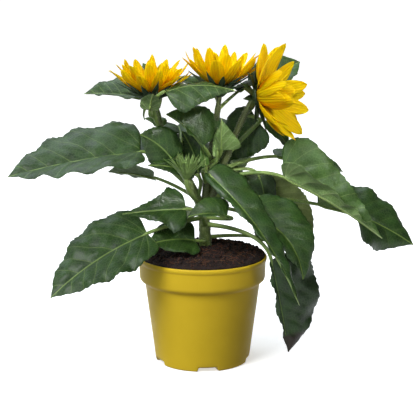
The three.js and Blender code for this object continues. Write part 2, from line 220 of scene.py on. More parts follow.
def node(tree, kind, inputs=(), **settings):
    """Adds one node with its settings and fills its inputs."""
    made = tree.nodes.new("ShaderNode" + kind)
    for name, value in settings.items():
        setattr(made, name, value)
    plug(tree, made, inputs)
    return made


print("mid grey turned linear:", [round(c, 3) for c in linear("#808080")])

# %% [markdown]
# Inputs are given by name, or as a list in their order. A MapRange takes its value, then the two
# ends of the range that comes in and the two of the range that goes out. A colour Mix takes its
# share at 0, and its colours share their names with other inputs, so they go by number.

# %% Materials
MIX_A, MIX_B = 6, 7


def new_material(name):
    """An empty material with its principled surface joined to the output."""
    material = bpy.data.materials.new(name)
    material.use_nodes = True
    tree = material.node_tree
    tree.nodes.clear()
    surface = node(tree, "BsdfPrincipled")
    node(tree, "OutputMaterial", {"Surface": surface})
    return material, tree, surface


def speckled(name, deep, fresh, scale, detail, rough):
    """A rough material whose two colours are mixed by a fine noise."""
    material, tree, surface = new_material(name)
    spot = node(tree, "TexCoord").outputs["Object"]
    speck = node(tree, "TexNoise", {"Vector": spot, "Scale": scale, "Detail": detail})
    tint = node(tree, "Mix", {0: speck, MIX_A: deep, MIX_B: fresh}, data_type="RGBA")
    plug(tree, surface, {"Base Color": tint, "Roughness": rough})
    return material


print("the colours of a Mix go in at", MIX_A, "and", MIX_B)

# %% [markdown]
# ## Camera, light and floor
# The plant is looked at from a little above and far off, as a catalogue does: a long lens keeps
# the near leaves from swelling.

# %% Camera
CAMERA_PLACE = (0.0056, -1.2, 0.4)
CAMERA_PITCH = 78.5
LENS = 106.0
view = bpy.data.cameras.new("plant_view")
view.lens = LENS
view.sensor_width = 36
camera = bpy.data.objects.new("plant_view", view)
camera.location = CAMERA_PLACE
camera.rotation_euler = (math.radians(CAMERA_PITCH), 0, 0)
bpy.context.collection.objects.link(camera)
bpy.context.scene.camera = camera
bpy.context.scene.view_settings.view_transform = "Standard"
print("camera at", CAMERA_PLACE, "lens", LENS)

# %% [markdown]
# Three cool soft boxes, in front, above and behind, put a bluish sheen on the wax of the leaves,
# and a small one with a narrow beam lifts the bloom that faces away. Their places and sizes are in
# metres.

# %% Soft boxes
PLANT_MIDDLE = (0.0, 0.0, 0.2)
FAR_BLOOM = (0.08, -0.04, 0.28)
SOFT_BOXES = [
    dict(name="front_soft_box", place=(-0.8, -1.1, 0.9), size=1.3, watts=10, tint=(0.86, 0.93, 1)),
    dict(name="top_soft_box", place=(-0.25, 0.55, 1.4), size=1.2, watts=13, tint=(0.84, 0.92, 1)),
    dict(name="bloom_soft_box", place=(0.5, -0.75, 0.8), size=0.2, watts=0.1, tint=(1, 1, 1),
         aim=FAR_BLOOM, beam=12),
    dict(name="back_soft_box", place=(-1.2, 0.7, 1.0), size=1.1, watts=6, tint=(0.8, 0.9, 1)),
]


def soft_box(name, place, size, watts, tint, aim=PLANT_MIDDLE, beam=180):
    """A square area light that faces its aim, with a beam of so many degrees."""
    lamp = bpy.data.lights.new(name, "AREA")
    lamp.shape = "SQUARE"
    lamp.size, lamp.energy, lamp.color = size, watts, tint
    lamp.spread = math.radians(beam)
    holder = bpy.data.objects.new(name, lamp)
    holder.location = place
    toward = np.subtract(aim, place)
    tilt = math.atan2(math.hypot(toward[0], toward[1]), -toward[2])
    holder.rotation_euler = (tilt, 0, math.atan2(toward[1], toward[0]) - math.pi / 2)
    bpy.context.collection.objects.link(holder)


for row in SOFT_BOXES:
    soft_box(**row)
print(len(SOFT_BOXES), "soft boxes give", sum(row["watts"] for row in SOFT_BOXES), "watts")

# %% [markdown]
# The main light is a wide, soft window high on the left. The room round it is even and white: the
# camera sees it in full, the plant gets only a little of it, so that the shadows keep some depth.

# %% Window and room
WINDOW = Sizes(strength=1.75, wide=24, tilt=42, turn=-38)  # the last three in degrees
ROOM_LIGHT = 0.15
window_light = bpy.data.lights.new("window_light", "SUN")
window_light.energy = WINDOW.strength
window_light.angle = math.radians(WINDOW.wide)
window = bpy.data.objects.new("window_light", window_light)
window.rotation_euler = (math.radians(WINDOW.tilt), 0, math.radians(WINDOW.turn))
bpy.context.collection.objects.link(window)
room = bpy.data.worlds.new("white_room")
room.use_nodes = True
tree = room.node_tree
tree.nodes.clear()
dim = node(tree, "Background", {"Color": (1, 1, 1, 1), "Strength": ROOM_LIGHT})
bright = node(tree, "Background", {"Color": (1, 1, 1, 1), "Strength": 1.0})
seen = node(tree, "LightPath").outputs["Is Camera Ray"]
node(tree, "OutputWorld", {"Surface": node(tree, "MixShader", [seen, dim, bright])})
bpy.context.scene.world = room
print("the window gives", WINDOW.strength, "and the room", ROOM_LIGHT)

# %% [markdown]
# The floor is a matt white board, so wide that its edge is never seen. A little light of its own
# keeps it white, and the pot still throws a soft shadow on it.

# %% Floor
FLOOR = Sizes(radius=80, sides=64, glow=0.55)  # the radius in metres
floor_paint, tree, surface = new_material("matt_white_board")
plug(tree, surface, {
    "Base Color": "#FAFAFA", "Roughness": 0.9, "Specular IOR Level": 0.1,
    "Emission Color": (1, 1, 1, 1), "Emission Strength": FLOOR.glow,
})
turn = np.linspace(0, 2 * math.pi, FLOOR.sides, endpoint=False)
floor_rim = np.stack((np.cos(turn), np.sin(turn), 0 * turn), -1) * FLOOR.radius
floor_mesh = bpy.data.meshes.new("floor")
floor_mesh.from_pydata(floor_rim.tolist(), [], [list(range(FLOOR.sides))])
floor_mesh.materials.append(floor_paint)
floor = bpy.data.objects.new("floor", floor_mesh)
bpy.context.collection.objects.link(floor)
floor.visible_diffuse = False
print("the floor is", 2 * FLOOR.radius, "m wide")

# %% [markdown]
# ## The pot
# A grower's pot is injection-moulded polypropylene: a tapered wall, a collar that lets pots stack,
# a rolled lip and a foot with arches that let water out. A lathe profile turned round the axis
# makes all of it but the arches.

# %% Lathe tools
def rounded(corners, bend, steps=4):
    """A profile with each inner corner turned into a small arc, as a mould leaves it."""
    corners = [np.array(c, float) for c in corners]
    line = [corners[0]]
    for before, corner, after in zip(corners, corners[1:], corners[2:]):
        reach_in = min(bend, np.linalg.norm(before - corner) * 0.45)
        reach_out = min(bend, np.linalg.norm(after - corner) * 0.45)
        start = corner + unit(before - corner) * reach_in
        end = corner + unit(after - corner) * reach_out
        line += list(along_curve((start, corner, end), np.linspace(0, 1, steps)))
    return np.array(line + [corners[-1]])


def split_long(line, longest):
    """Adds points to a profile's long straight runs."""
    dense = [line[0]]
    for a, b in zip(line, line[1:]):
        count = max(1, math.ceil(np.linalg.norm(b - a) / longest))
        dense += [a + (b - a) * (i + 1) / count for i in range(count)]
    return np.array(dense)


def lathe(line, sides):
    """The profile's points at each of `sides` angles, and the faces between them."""
    angle = np.linspace(0, 2 * math.pi, sides, endpoint=False)
    r, z = line[:, 0][:, None], line[:, 1][:, None]
    points = np.stack((r * np.cos(angle), r * np.sin(angle), z + 0 * angle), -1)
    return points, grid_faces(len(line), sides, ring=True)[:, ::-1]


print("a rounded corner has", len(rounded([(0, 0), (9, 0), (9, 9)], 1)), "points")

# %% [markdown]
# The profile runs from the middle of the underside out over the foot, up the wall and the collar,
# over the lip and down inside to the floor. Each pair is a radius and a height.

# %% Pot profile
POT = Sizes(height=108, rim=65, lip=2, wall=1.5, collar_foot=86, collar=63.2, body_top=81, body=58,
            foot=47.6, foot_width=9, pad=14, floor=4.5, bend=0.9, sides=240, step=4)
foot_inside = POT.foot - POT.foot_width
underside = [
    (0.01, 0), (POT.pad, 0), (POT.pad + 1, POT.floor), (foot_inside - 1, POT.floor),
    (foot_inside, 0), (POT.foot - 1, 0), (POT.foot, 1.2),
]
outside = [
    (POT.body, POT.body_top), (POT.collar - 0.4, POT.collar_foot - 1.2),
    (POT.collar + 0.25, POT.collar_foot + 1.2), (POT.collar + 0.6, POT.height - 5.5),
    (POT.rim - 0.3, POT.height - 4.2), (POT.rim, POT.height - 1.4), (POT.rim - 1, POT.height),
]
inside = [
    (POT.rim - POT.lip, POT.height - 0.3), (POT.rim - POT.lip - 0.2, POT.height - 4),
    (POT.collar - POT.wall, POT.collar_foot + 1), (POT.body - POT.wall, POT.body_top),
    (POT.foot - POT.wall, POT.floor + POT.wall), (0.01, POT.floor + POT.wall),
]
pot_line = split_long(rounded(underside + outside + inside, POT.bend), POT.step)
print("pot profile has", len(pot_line), "points")

# %% [markdown]
# The arches are pushed up into the foot where they fall. That keeps the mesh in clean four-cornered
# faces, where a Boolean would leave slivers.

# %% Pot with its drainage arches
ARCHES = Sizes(count=5, first=-83, width=20, height=4.5, slope=1.2, clear=1.5)
pot_points, pot_faces = lathe(pot_line, POT.sides)
radius = np.hypot(pot_points[..., 0], pot_points[..., 1])
angle = np.degrees(np.arctan2(pot_points[..., 1], pot_points[..., 0]))
share = ((angle - ARCHES.first) * ARCHES.count / 360 + 0.5) % 1 - 0.5
sideways = np.abs(share) * 2 * math.pi * POT.foot / ARCHES.count
slope = np.clip(((ARCHES.width + ARCHES.slope) / 2 - sideways) / ARCHES.slope, 0, 1)
arch = slope * ARCHES.height
in_foot = (radius > foot_inside - ARCHES.clear) & (radius < POT.foot + ARCHES.clear)
lifted = in_foot & (pot_points[..., 2] < arch)
pot_points[..., 2] = np.where(lifted, arch, pot_points[..., 2])
pot_heap = Heap()
pot_heap.add(pot_points, pot_faces)
print(ARCHES.count, "arches,", ARCHES.width, "mm wide")

# %% [markdown]
# The finish is polypropylene, moulded and left as it came out: dyed right through, so the colour
# is even, with a soft gloss. The mould's turning marks run round the collar as faint rings a
# millimetre and a half apart, and handling has dulled the wall in patches. IOR is 1.49.

# %% Moulded polypropylene
RING_APART = 1.5 * MM
mustard, tree, surface = new_material("polypropylene_moulded_mustard")
spot = node(tree, "TexCoord").outputs["Object"]
height = node(tree, "SeparateXYZ", [spot]).outputs["Z"]
rings = node(tree, "Math", [height, 2 * math.pi / RING_APART], operation="MULTIPLY")
rings = node(tree, "Math", [rings], operation="SINE")
patches = node(tree, "TexNoise", {"Vector": spot, "Scale": 45.0, "Detail": 4.0})
grain = node(tree, "TexNoise", {"Vector": spot, "Scale": 900.0, "Detail": 2.0})
tint = node(tree, "Mix", {0: patches, MIX_A: "#EAC62E", MIX_B: "#DEBA28"}, data_type="RGBA")
rub = node(tree, "MapRange", [patches, 0.3, 0.7, 0.42, 0.52])
relief = node(tree, "Math", [rings, 0.25, grain], operation="MULTIPLY_ADD")
bump = node(tree, "Bump", {"Height": relief, "Strength": 0.35, "Distance": 0.06 * MM})
plug(tree, surface, {"Base Color": tint, "Roughness": rub, "Normal": bump, "IOR": 1.49,
                     "Specular IOR Level": 0.15})
pot_piece = make_piece("pot_wall", pot_heap, [mustard], ["pot"])
print("pot has", len(pot_piece.data.polygons), "faces")

# %% [markdown]
# ## The compost
# Potting compost is dark peat with crumbs and reddish fibres. Its bed is a gently heaped surface
# with three sizes of lumps, and a short skirt at the edge goes down along the wall.

# %% Compost bed
SOIL = Sizes(edge=1.5, crown=7, clod=1.2, crumb=0.7, grit=0.3, clear=0.7, skirt=2.4, depth=14,
             rings=60, sides=160)
THROAT = POT.rim - POT.lip


def soil_height(x, y):
    """Height of the bed: a crown, the solid's own slow clods, and finer crumbly unevenness."""
    clod = np.sin(x * 0.37 + y * 0.23) * np.cos(y * 0.41 - x * 0.19)
    crumb = np.sin(x * 1.3 + 2 * np.sin(y * 0.9)) * np.sin(y * 1.7 - 1.5 * np.sin(x * 1.1))
    grit = np.sin(x * 3.1 + y * 2.3) * np.sin(y * 3.7 - x * 1.9)
    crown = POT.height + SOIL.edge + SOIL.crown * (1 - (np.hypot(x, y) / THROAT) ** 2)
    return crown + SOIL.clod * clod + SOIL.crumb * crumb + SOIL.grit * grit


bed_edge = THROAT - SOIL.clear
bed_radii = np.array([THROAT - SOIL.skirt, bed_edge, *np.linspace(bed_edge, 0.01, SOIL.rings)])
bed, bed_faces = lathe(np.stack((bed_radii, 0 * bed_radii), -1), SOIL.sides)
bed[..., 2] = soil_height(bed[..., 0], bed[..., 1])
bed[0, :, 2] = POT.height - SOIL.depth
bed[1, :, 2] = bed[2, :, 2] - 1.5
soil_heap = Heap()
soil_heap.add(bed, bed_faces[:, ::-1])  # the line runs inwards, so its faces are turned over
print("compost bed is", round(float(bed[..., 2].max()), 1), "mm high")

# %% [markdown]
# Moist peat is nearly black brown and rough, with reddish flecks of fibre a few millimetres across.

# %% Moist peat
peat, tree, surface = new_material("peat_compost_moist")
spot = node(tree, "TexCoord").outputs["Object"]
flecks = node(tree, "TexNoise", {"Vector": spot, "Scale": 420.0, "Detail": 6.0, "Roughness": 0.7})
clumps = node(tree, "TexVoronoi", {"Vector": spot, "Scale": 380.0})
share = node(tree, "MapRange", [flecks, 0.42, 0.72])
tint = node(tree, "Mix", {0: share, MIX_A: "#120805", MIX_B: "#381C0F"}, data_type="RGBA")
bump = node(tree, "Bump", {"Height": clumps, "Strength": 0.9, "Distance": 1.2 * MM})
plug(tree, surface, {"Base Color": tint, "Normal": bump, "Roughness": 0.88})
compost_piece = make_piece("compost_bed", soil_heap, [peat], ["soil"])
print("compost bed has", len(compost_piece.data.polygons), "faces")

# %% [markdown]
# The crumbs and fibres that catch the light are real small shapes on top of the bed, joined into
# two meshes. A crumb is an eight-sided grain pulled out of shape. All of them come from one seeded
# random source, so each run gives the same bed.

# %% Crumbs
chance = np.random.default_rng(7)
CRUMBS = Sizes(count=2600, margin=2.5, small=0.5, more=1.6, dry=0.35)
GRAIN = np.array([(1, 0, 0), (-1, 0, 0), (0, 1, 0), (0, -1, 0), (0, 0, 1), (0, 0, -1)], float)
GRAIN_FACES = [(0, 2, 4), (2, 1, 4), (1, 3, 4), (3, 0, 4),
               (2, 0, 5), (1, 2, 5), (3, 1, 5), (0, 3, 5)]


def bed_spot(margin):
    """A random place on the bed, with a margin kept from the pot's lip."""
    r = (THROAT - margin) * math.sqrt(chance.random())
    turn = chance.random() * 2 * math.pi
    return r * math.cos(turn), r * math.sin(turn)


crumb_heap = Heap()
for i in range(CRUMBS.count):
    x, y = bed_spot(CRUMBS.margin)
    size = CRUMBS.small + CRUMBS.more * chance.random() ** 3
    crumb = GRAIN * chance.uniform(0.6, 1.3, (6, 1)) * size * chance.uniform(0.6, 1.2, 3)
    crumb = crumb + chance.normal(0, 0.15 * size, (6, 3)) + (x, y, soil_height(x, y) + size * 0.2)
    crumb_heap.add(crumb, GRAIN_FACES, int(chance.random() < CRUMBS.dry))
print("the bed carries", CRUMBS.count, "crumbs")

# %% [markdown]
# A fibre is a thin bent limb that lies on the bed with its middle a little clear of it.

# %% Fibres
FIBRES = Sizes(count=420, margin=6, short=3, more=8, bend=3, thick=0.28, thin=0.1, clear=1.6)
fibre_heap = Heap()
for i in range(FIBRES.count):
    foot = np.array((*bed_spot(FIBRES.margin), 0.0))
    heading = compass(chance.random() * 360) * (FIBRES.short + FIBRES.more * chance.random())
    bend = compass(chance.random() * 360) * FIBRES.bend
    path = [foot - heading / 2, foot + bend, foot + heading / 2]
    for p, lift in zip(path, (0.1, FIBRES.clear, 0.1)):
        p[:2] *= min(1, (THROAT - 2) / max(1, np.hypot(p[0], p[1])))
        p[2] = soil_height(p[0], p[1]) + lift
    points, faces = limb(path, taper(FIBRES.thick, FIBRES.thin), ANY_SIDE, 4, 5)
    fibre_heap.add(points, faces, int(chance.random() < 0.5))
print("and", FIBRES.count, "fibres")

# %% [markdown]
# Crumbs and fibres are told apart by plain colours dealt out piece by piece: wet peat, drier peat,
# and the fox-red and tan of wood fibre. Each is speckled down to half its brightness.

# %% Crumb and fibre finishes
LITTER = {"peat_crumb_wet": "#24130D", "peat_crumb_dry": "#4A2A1C",
          "wood_fibre_red": "#6B3A22", "wood_fibre_tan": "#7A5234"}
litter = []
for name, code in LITTER.items():
    deep = tuple(c * 0.55 for c in linear(code)[:3]) + (1.0,)
    litter.append(speckled(name, deep, code, 700.0, 3.0, 0.85))
make_piece("compost_crumbs", crumb_heap, litter[:2])
make_piece("compost_fibres", fibre_heap, litter[2:])
print("litter finishes:", ", ".join(LITTER))

# %% [markdown]
# ## Stems
# A sunflower stem is round, finely ribbed along its length and rough with pale bristles. It swells
# a little where a leaf stalk or a bough leaves it. Each stem follows the solid's own Bezier curve.

# %% Stem curves
STEMS = {
    "main": dict(path=[(3, 4, 104), (3, 4, 125), (2, 3, 140), (1, 3, 164)], radii=(6.5, 6)),
    "middle": dict(path=[(3, 3, 160), (4, 3, 190), (13, 2, 235), (17, 1, 269)], radii=(4.2, 2.8)),
    "left": dict(path=[(-1, 3, 154), (-8, 1, 180), (-40, -3, 222), (-50, -7, 262)], radii=(4.5, 3)),
    "right": dict(path=[(5, 3, 152), (14, 3, 180), (28, 0, 225), (50, -8, 268)], radii=(4.2, 3)),
}
SIDEWAYS = np.array((0.0, 1.0, 0.0))


def stem_point(name, share):
    return along_curve(STEMS[name]["path"], np.array([share]))[0]


print("the middle stem ends at", stem_point("middle", 1.0))

# %% [markdown]
# ## Leaves: the plan
# Each leaf is a stalk that leaves its stem on a compass bearing, and a blade that runs on along a
# heading of its own, folded along the midrib. The rows below are the plant's planting plan: they
# are the same named sizes from which the solids were made. `at` is a share of the stem's length,
# `stalk` and `blade` tell how far each goes out and up, `bow` how far the blade's midrib is bent,
# `half` how wide the two halves are, and `rise` how many degrees each half is lifted.

# %% Leaf rows
LEAF = Sizes(stalk_radius=2.0, stalk_end=1.3, stalk_lead=0.4, point=0.03)


def leaf(name, stem, at, bearing, stalk, heading, blade, bow, half, rise, tip_rise=None,
         widest=0.24, full=2.1, shoulder=1.3, lobe=0.12):
    """One row of the plan."""
    return Sizes(name=name, stem=stem, at=at, bearing=bearing, stalk=stalk, heading=heading,
                 blade=blade, bow=bow, half=half, rise=rise, tip_rise=tip_rise or rise,
                 widest=widest, full=full, shoulder=shoulder, lobe=lobe)


# name, stem, at, bearing, stalk, heading, blade, bow, half, rise
LEAVES = [
    leaf("far_left", "left", 0.24, 193, (52, 39), 188, (130, -22), 3, (42, 46), (-8, 34),
         widest=0.12, full=3.3),
    leaf("under_left", "main", 0.95, 168, (51, 24), 168, (48, 4), 2, (18, 18), (40, -25)),
    leaf("low_left", "main", 0.72, 217, (69, -7), 202, (98, -55), 6, (36, 42), (-25, 33)),
    leaf("twist_left", "main", 0.52, 238, (34, 26), 198, (64, -1), 1, (26, 23), (-46, 66),
         widest=0.28, full=0.6, shoulder=1.1, lobe=0),
    leaf("soil_left", "main", 0.32, 246, (24, 4), 207, (50, 1), 3, (22, 24), (-28, 50)),
    leaf("centre_low", "main", 0.72, 301, (44, 9), 199, (40, 2), 3, (12, 18), (0, 60)),
    leaf("front_right", "middle", 0.2, 268, (20, 16), 322, (112, -116), 12, (24, 8), (35, -55),
         tip_rise=(0, 50), widest=0.2, full=1.5),
    leaf("right_up", "right", 0.32, 346, (67, 6), 345, (98, -56), 4, (45, 24), (72, 58),
         widest=0.16, full=0.95, lobe=0.4),
    leaf("far_right", "right", 0.18, 4, (106, -11), 358, (97, -41), 6, (38, 38), (38, 60),
         tip_rise=(45, -110), widest=0.4, full=1.7),
    leaf("right_back", "main", 0.88, 25, (60, 13), 15, (61, -52), 4, (20, 28), (-20, 70)),
    leaf("right_low", "main", 0.93, 335, (51, -6), 336, (56, -60), 14, (34, 16), (42, -20)),
    leaf("lowest_right", "main", 0.6, 331, (75, -28), 6, (18, -95), 1, (44, 6), (72, -50),
         widest=0.35, full=2.4),
    leaf("right_high", "right", 0.42, 19, (58, 10), 14, (72, -19), 4, (20, 20), (15, 10),
         tip_rise=(45, 10), full=3.5),
    leaf("dark_round", "right", 0.56, 27, (34, 29), 172, (33, -41), 3, (25, 25), (-75, 75)),
    leaf("young_middle", "middle", 0.4, 305, (20, 15), 268, (4, 31), -3, (20, 8), (10, 20),
         widest=0.15, full=1.2),
    leaf("upper_centre", "middle", 0.44, 250, (20, 15), 181, (36, 31), 3, (14, 32), (0, 60)),
    leaf("top_front_left", "left", 0.9, 261, (25, 8), 285, (16, 17), 2, (10, 10), (-15, 20)),
    leaf("top_front", "left", 0.76, 278, (30, 43), 3, (68, 0), 6, (10, 26), (10, -62), widest=0.22,
         full=1.3, shoulder=1.03, lobe=0),
    leaf("left_top", "left", 0.78, 124, (32, 28), 176, (60, 4), 2, (10, 28), (-5, 36)),
    leaf("behind_left_bloom", "left", 0.92, 88, (42, 24), 138, (20, 20), 1, (12, 10), (10, 10)),
    leaf("behind_right_bloom", "right", 0.82, 56, (41, 24), 23, (40, 29), 3, (26, 20), (50, -20),
         full=2.6),
    leaf("between_blooms", "middle", 0.8, 104, (26, 22), 172, (41, 11), 3, (10, 12), (0, 40)),
    leaf("under_middle_bloom", "middle", 0.86, 28, (23, 17), 14, (25, 9), 2, (10, 8), (20, 10)),
    leaf("small_left", "left", 0.58, 136, (17, 24), 154, (18, 8), 1, (10, 12), (10, 30)),
    leaf("glossy_left", "left", 0.3, 220, (22, 26), 198, (32, 26), 3, (19, 21), (-80, 78),
         widest=0.35),
    leaf("dark_hanging", "right", 0.37, 18, (42, -4), 12, (4, -38), 3, (15, 17), (80, -80)),
    leaf("under_right_bloom", "right", 0.86, 22, (23, -8), 0, (24, -29), 3, (10, 10), (50, -30)),
    leaf("low_back_right", "main", 0.36, 11, (53, -2), 8, (46, -28), 5, (20, 20), (10, 10)),
    leaf("back_left", "left", 0.36, 104, (32, 27), 100, (96, -18), 10, (33, 33), (12, 12)),
    leaf("back_far_left", "left", 0.2, 150, (58, 36), 148, (82, -2), 8, (28, 28), (12, 12)),
    leaf("back_middle", "middle", 0.3, 80, (36, 18), 76, (104, -44), 12, (36, 36), (10, 10)),
    leaf("back_right", "right", 0.25, 60, (38, 6), 52, (86, -50), 10, (32, 32), (8, 8)),
    leaf("back_low", "main", 0.6, 104, (32, 8), 104, (64, -28), 7, (25, 25), (10, 10)),
    leaf("back_upper_left", "left", 0.5, 85, (30, 24), 97, (64, -4), 6, (23, 23), (12, 12)),
    leaf("back_upper_right", "middle", 0.6, 70, (34, 10), 54, (66, -22), 6, (23, 23), (10, 10)),
]
print(len(LEAVES), "leaves in the plan")

# %% [markdown]
# The swellings of a stem sit where the plan says that something leaves it.

# %% Swellings
SWELLING = Sizes(high=0.45, long=0.035)
FORK_AT = 0.85


def stem_radius(name):
    """The radius of a stem at each share of its length, with its swellings."""
    even = taper(*STEMS[name]["radii"])
    knots = [row.at for row in LEAVES if row.stem == name]
    knots = np.array(knots + ([FORK_AT] if name == "main" else []))

    def radius_at(t):
        bulge = np.exp(-((t[:, None] - knots) / SWELLING.long) ** 2).max(1)
        return even(t) * (1 - 0.2 * t) + SWELLING.high * bulge
    return radius_at


print("the main stem starts", stem_radius("main")(np.zeros(1)).round(1)[0], "mm in radius")

# %% [markdown]
# ## Leaf geometry
# The blade's middle surface follows the solid's rule: a width that swells to full shoulders and
# tapers to the tip, lobes that reach back past the stalk, and two halves that rise from the midrib
# by their own angles. On top of that come the things a real leaf has: forward-pointing teeth, a
# wavy margin, and a surface that quilts up between sunken veins.

# %% Leaf outline
def outline(t, widest, full, shoulder):
    early = np.sqrt(np.clip(1 - ((t - widest) / (widest * shoulder)) ** 2, 0, 1))
    late = 1 - np.clip((t - widest) / (1 - widest), 0, 1) ** full
    return np.where(t < widest, early, np.maximum(LEAF.point, late))


def leaf_curves(row):
    """The leaf's sideways direction, and the curves of its stalk and its blade."""
    side = np.cross(UP, compass(row.heading))
    foot = stem_point(row.stem, row.at)
    base = foot + compass(row.bearing) * row.stalk[0] + UP * row.stalk[1]
    tip = base + compass(row.heading) * row.blade[0] + UP * row.blade[1]
    middle = (base + tip) / 2 + unit(np.cross(tip - base, side)) * 2 * row.bow
    lead = unit(middle - base) * LEAF.stalk_lead * np.linalg.norm(base - foot)
    return side, [foot, base - lead, base], [base, middle, tip]


print("the first blade starts at", leaf_curves(LEAVES[0])[2][0].round(1))

# %% [markdown]
# The veins are laid out once, as numbers carried by the mesh. `phase` counts the side veins, so a
# whole number is a vein, and `per_count` says how many millimetres one count is there. The shader
# draws crisp veins from them however coarse the mesh is, and the relief uses them as well. By the
# stalk, where no side vein reaches, a fan of veins spreads into the lobes.

# %% Veins
VEIN = Sizes(slope=0.72, bend=0.3, stray=2.2, wave=0.11, fan=math.radians(27))


def veins_at(along, reach, half, apart):
    """Side-vein phase and millimetres per count, for places on one half of the blade."""
    straight = along - VEIN.bend * reach ** 2 / np.maximum(half, 1)
    straight = straight + VEIN.stray * np.sin(along * VEIN.wave + half)
    forward = (straight - VEIN.slope * reach) / apart
    bearing = np.arctan2(straight, np.maximum(reach, 1e-3)) - math.atan(VEIN.slope)
    ahead = forward > 0
    per_count = np.where(ahead, apart / math.hypot(1, VEIN.slope),
                         VEIN.fan * np.hypot(straight, reach))
    return np.where(ahead, forward, bearing / VEIN.fan), per_count


print("side veins slope forward by", round(math.degrees(math.atan(VEIN.slope))), "degrees")

# %% [markdown]
# A blade is first laid out flat. Its places are shares along the midrib, in a column, and shares
# from margin to margin, in a row, so that one sum works on the whole grid. Small leaves have fewer
# and smaller teeth.

# %% Blade laid out flat
BIG_HALF = 40
TOOTH = Sizes(long=6.5, deep=1.5, forward=0.82)


def flat_grid(row):
    """Shares along and across a blade, closer together by the midrib."""
    along_steps = int(np.clip(math.hypot(*row.blade) / 1.1, 34, 120))
    half_steps = int(np.clip(max(row.half) / 2.2, 7, 18))
    half = np.linspace(0, 1, half_steps + 1) ** 1.25
    return np.linspace(0, 1, along_steps + 1)[:, None], np.concatenate((-half[:0:-1], half))[None]


def tooth_height(t, run, big):
    """Teeth that lean forward, with a long rise and a short fall, and fade out at both ends."""
    bite = run / (TOOTH.long * (0.55 + 0.45 * big)) % 1
    tooth = np.where(bite < TOOTH.forward, bite / TOOTH.forward, (1 - bite) / (1 - TOOTH.forward))
    tooth = (tooth - 0.5) * TOOTH.deep * (0.4 + 0.6 * big)
    return tooth * np.clip(t * 8, 0, 1) * np.clip((1 - t) * 6, 0, 1)


print("the first blade's grid has", flat_grid(LEAVES[0])[0].size, "rows")

# %% [markdown]
# With that the whole blade is laid out: its width, its teeth, its lobes and its veins.

# %% Blade with its teeth and veins
def lay_flat(row, index):
    """How far each point of a blade lies along and out, and what its relief needs."""
    t, y = flat_grid(row)
    other = np.where(y > 0, 0, 1)  # 0 on one half, 1 on the other
    half = np.array(row.half, float)[other]
    length, big = math.hypot(*row.blade), np.clip(max(row.half) / BIG_HALF, 0.25, 1)
    beside = np.abs(y)
    heel = np.sqrt(np.where(t < 0.05, np.clip(1 - (1 - t / 0.05) ** 2, 0, 1), 1))
    width = outline(t, row.widest, row.full, row.shoulder) * heel
    run = t * length + 3 * np.sin(t * 9 + index) + other * 2.7
    tooth = tooth_height(t, run, big) * np.minimum(1, width * half / 6)
    reach = beside * width * half + tooth * beside ** 7
    reach = np.maximum(reach, 0)
    back = row.lobe * half * (1 - t) ** 3 * beside ** 2 * np.clip(width * 1.6, 0, 1)
    along = t * length - back
    apart = max(7.5, length / 6.5) * np.where(other, 1.12, 1.0)
    phase, per_count = veins_at(along, reach, half, apart)
    return Sizes(t=t, y=y, other=other, half=half, big=big, beside=beside, width=width, run=run,
                 reach=reach, back=back, along=along, phase=phase, per_count=per_count)


print("the first blade is", lay_flat(LEAVES[0], 0).reach.max().round(1), "mm wide on one side")

# %% [markdown]
# Then comes the relief. The margin sways in long waves, the blade is domed beside the midrib, it
# quilts up between the veins, and large leaves swell and pucker unevenly.

# %% Blade relief
def from_vein(flat):
    """Millimetres to the nearest side vein."""
    return np.abs(flat.phase - np.round(flat.phase)) * flat.per_count


def blade_lift(flat, index):
    """How far each point stands off the folded blade."""
    t, big, beside, reach, along = flat.t, flat.big, flat.beside, flat.reach, flat.along
    wave_long = 30 * (0.5 + 0.5 * big)
    sway = np.sin(2 * math.pi * flat.run / wave_long + index * 2.1 + flat.other * 1.7)
    sway = 2.6 * big * sway * beside ** 2.2
    lift = sway * np.clip(t * 5, 0, 1) * np.clip((1 - t) * 4, 0.2, 1)
    lift = lift + 0.05 * flat.half * flat.width * np.sin(math.pi * beside)
    quilt = (1 - np.exp(-(from_vein(flat) / 3.0) ** 2)) * (1 - beside ** 4)
    lift = lift + 0.75 * big * quilt * np.clip(reach / 5, 0, 1)
    pucker = np.sin(along * 0.42 + 1.3 * np.sin(reach * 0.31 + index))
    pucker = pucker * np.sin(reach * 0.5 + 0.8 * np.sin(along * 0.23))
    swell = np.sin(along * 0.17 + 0.9 * np.sin(reach * 0.16 + 2 * index))
    swell = swell * np.sin(reach * 0.21 + 1.1 * np.sin(along * 0.13 + index))
    lift = lift + big * (0.15 * pucker + 0.8 * swell) * np.clip(reach / 7, 0, 1)
    return lift - 0.7 * np.exp(-(reach / 2.0) ** 2) * (1 - 0.6 * t)


print("the first blade is lifted up to", blade_lift(lay_flat(LEAVES[0], 0), 0).max().round(1), "mm")

# %% [markdown]
# At last the flat blade is folded along the midrib's curve. The fold may open or close towards the
# tip, where a row gives a `tip_rise`.

# %% Blade in space
def fold_blade(row, flat, lift, side, blade):
    """The middle surface of a blade, as a grid of points."""
    centre, way, across, out = (v[:, None] for v in frames_along(blade, flat.t[:, 0], side))
    low, high = np.radians(row.rise), np.radians(row.tip_rise)
    rise = (low + (high - low) * flat.t)[:, flat.other[0]]
    sign = np.sign(flat.y)
    facing = -across * (sign * np.sin(rise))[..., None] + out * np.cos(rise)[..., None]
    points = centre - way * flat.back[..., None]
    points = points + across * (sign * flat.reach * np.cos(rise))[..., None]
    return points + out * (flat.reach * np.sin(rise))[..., None] + facing * lift[..., None]


def sheet_normals(points):
    return unit(np.cross(np.gradient(points, axis=0), np.gradient(points, axis=1)))


print("a leaf folds by up to", max(abs(rise) for row in LEAVES for rise in row.rise), "degrees")

# %% [markdown]
# A blade is a thin closed skin: an upper face, an under face and a strip that joins them round the
# margin. Petals and bracts are closed in the same way.

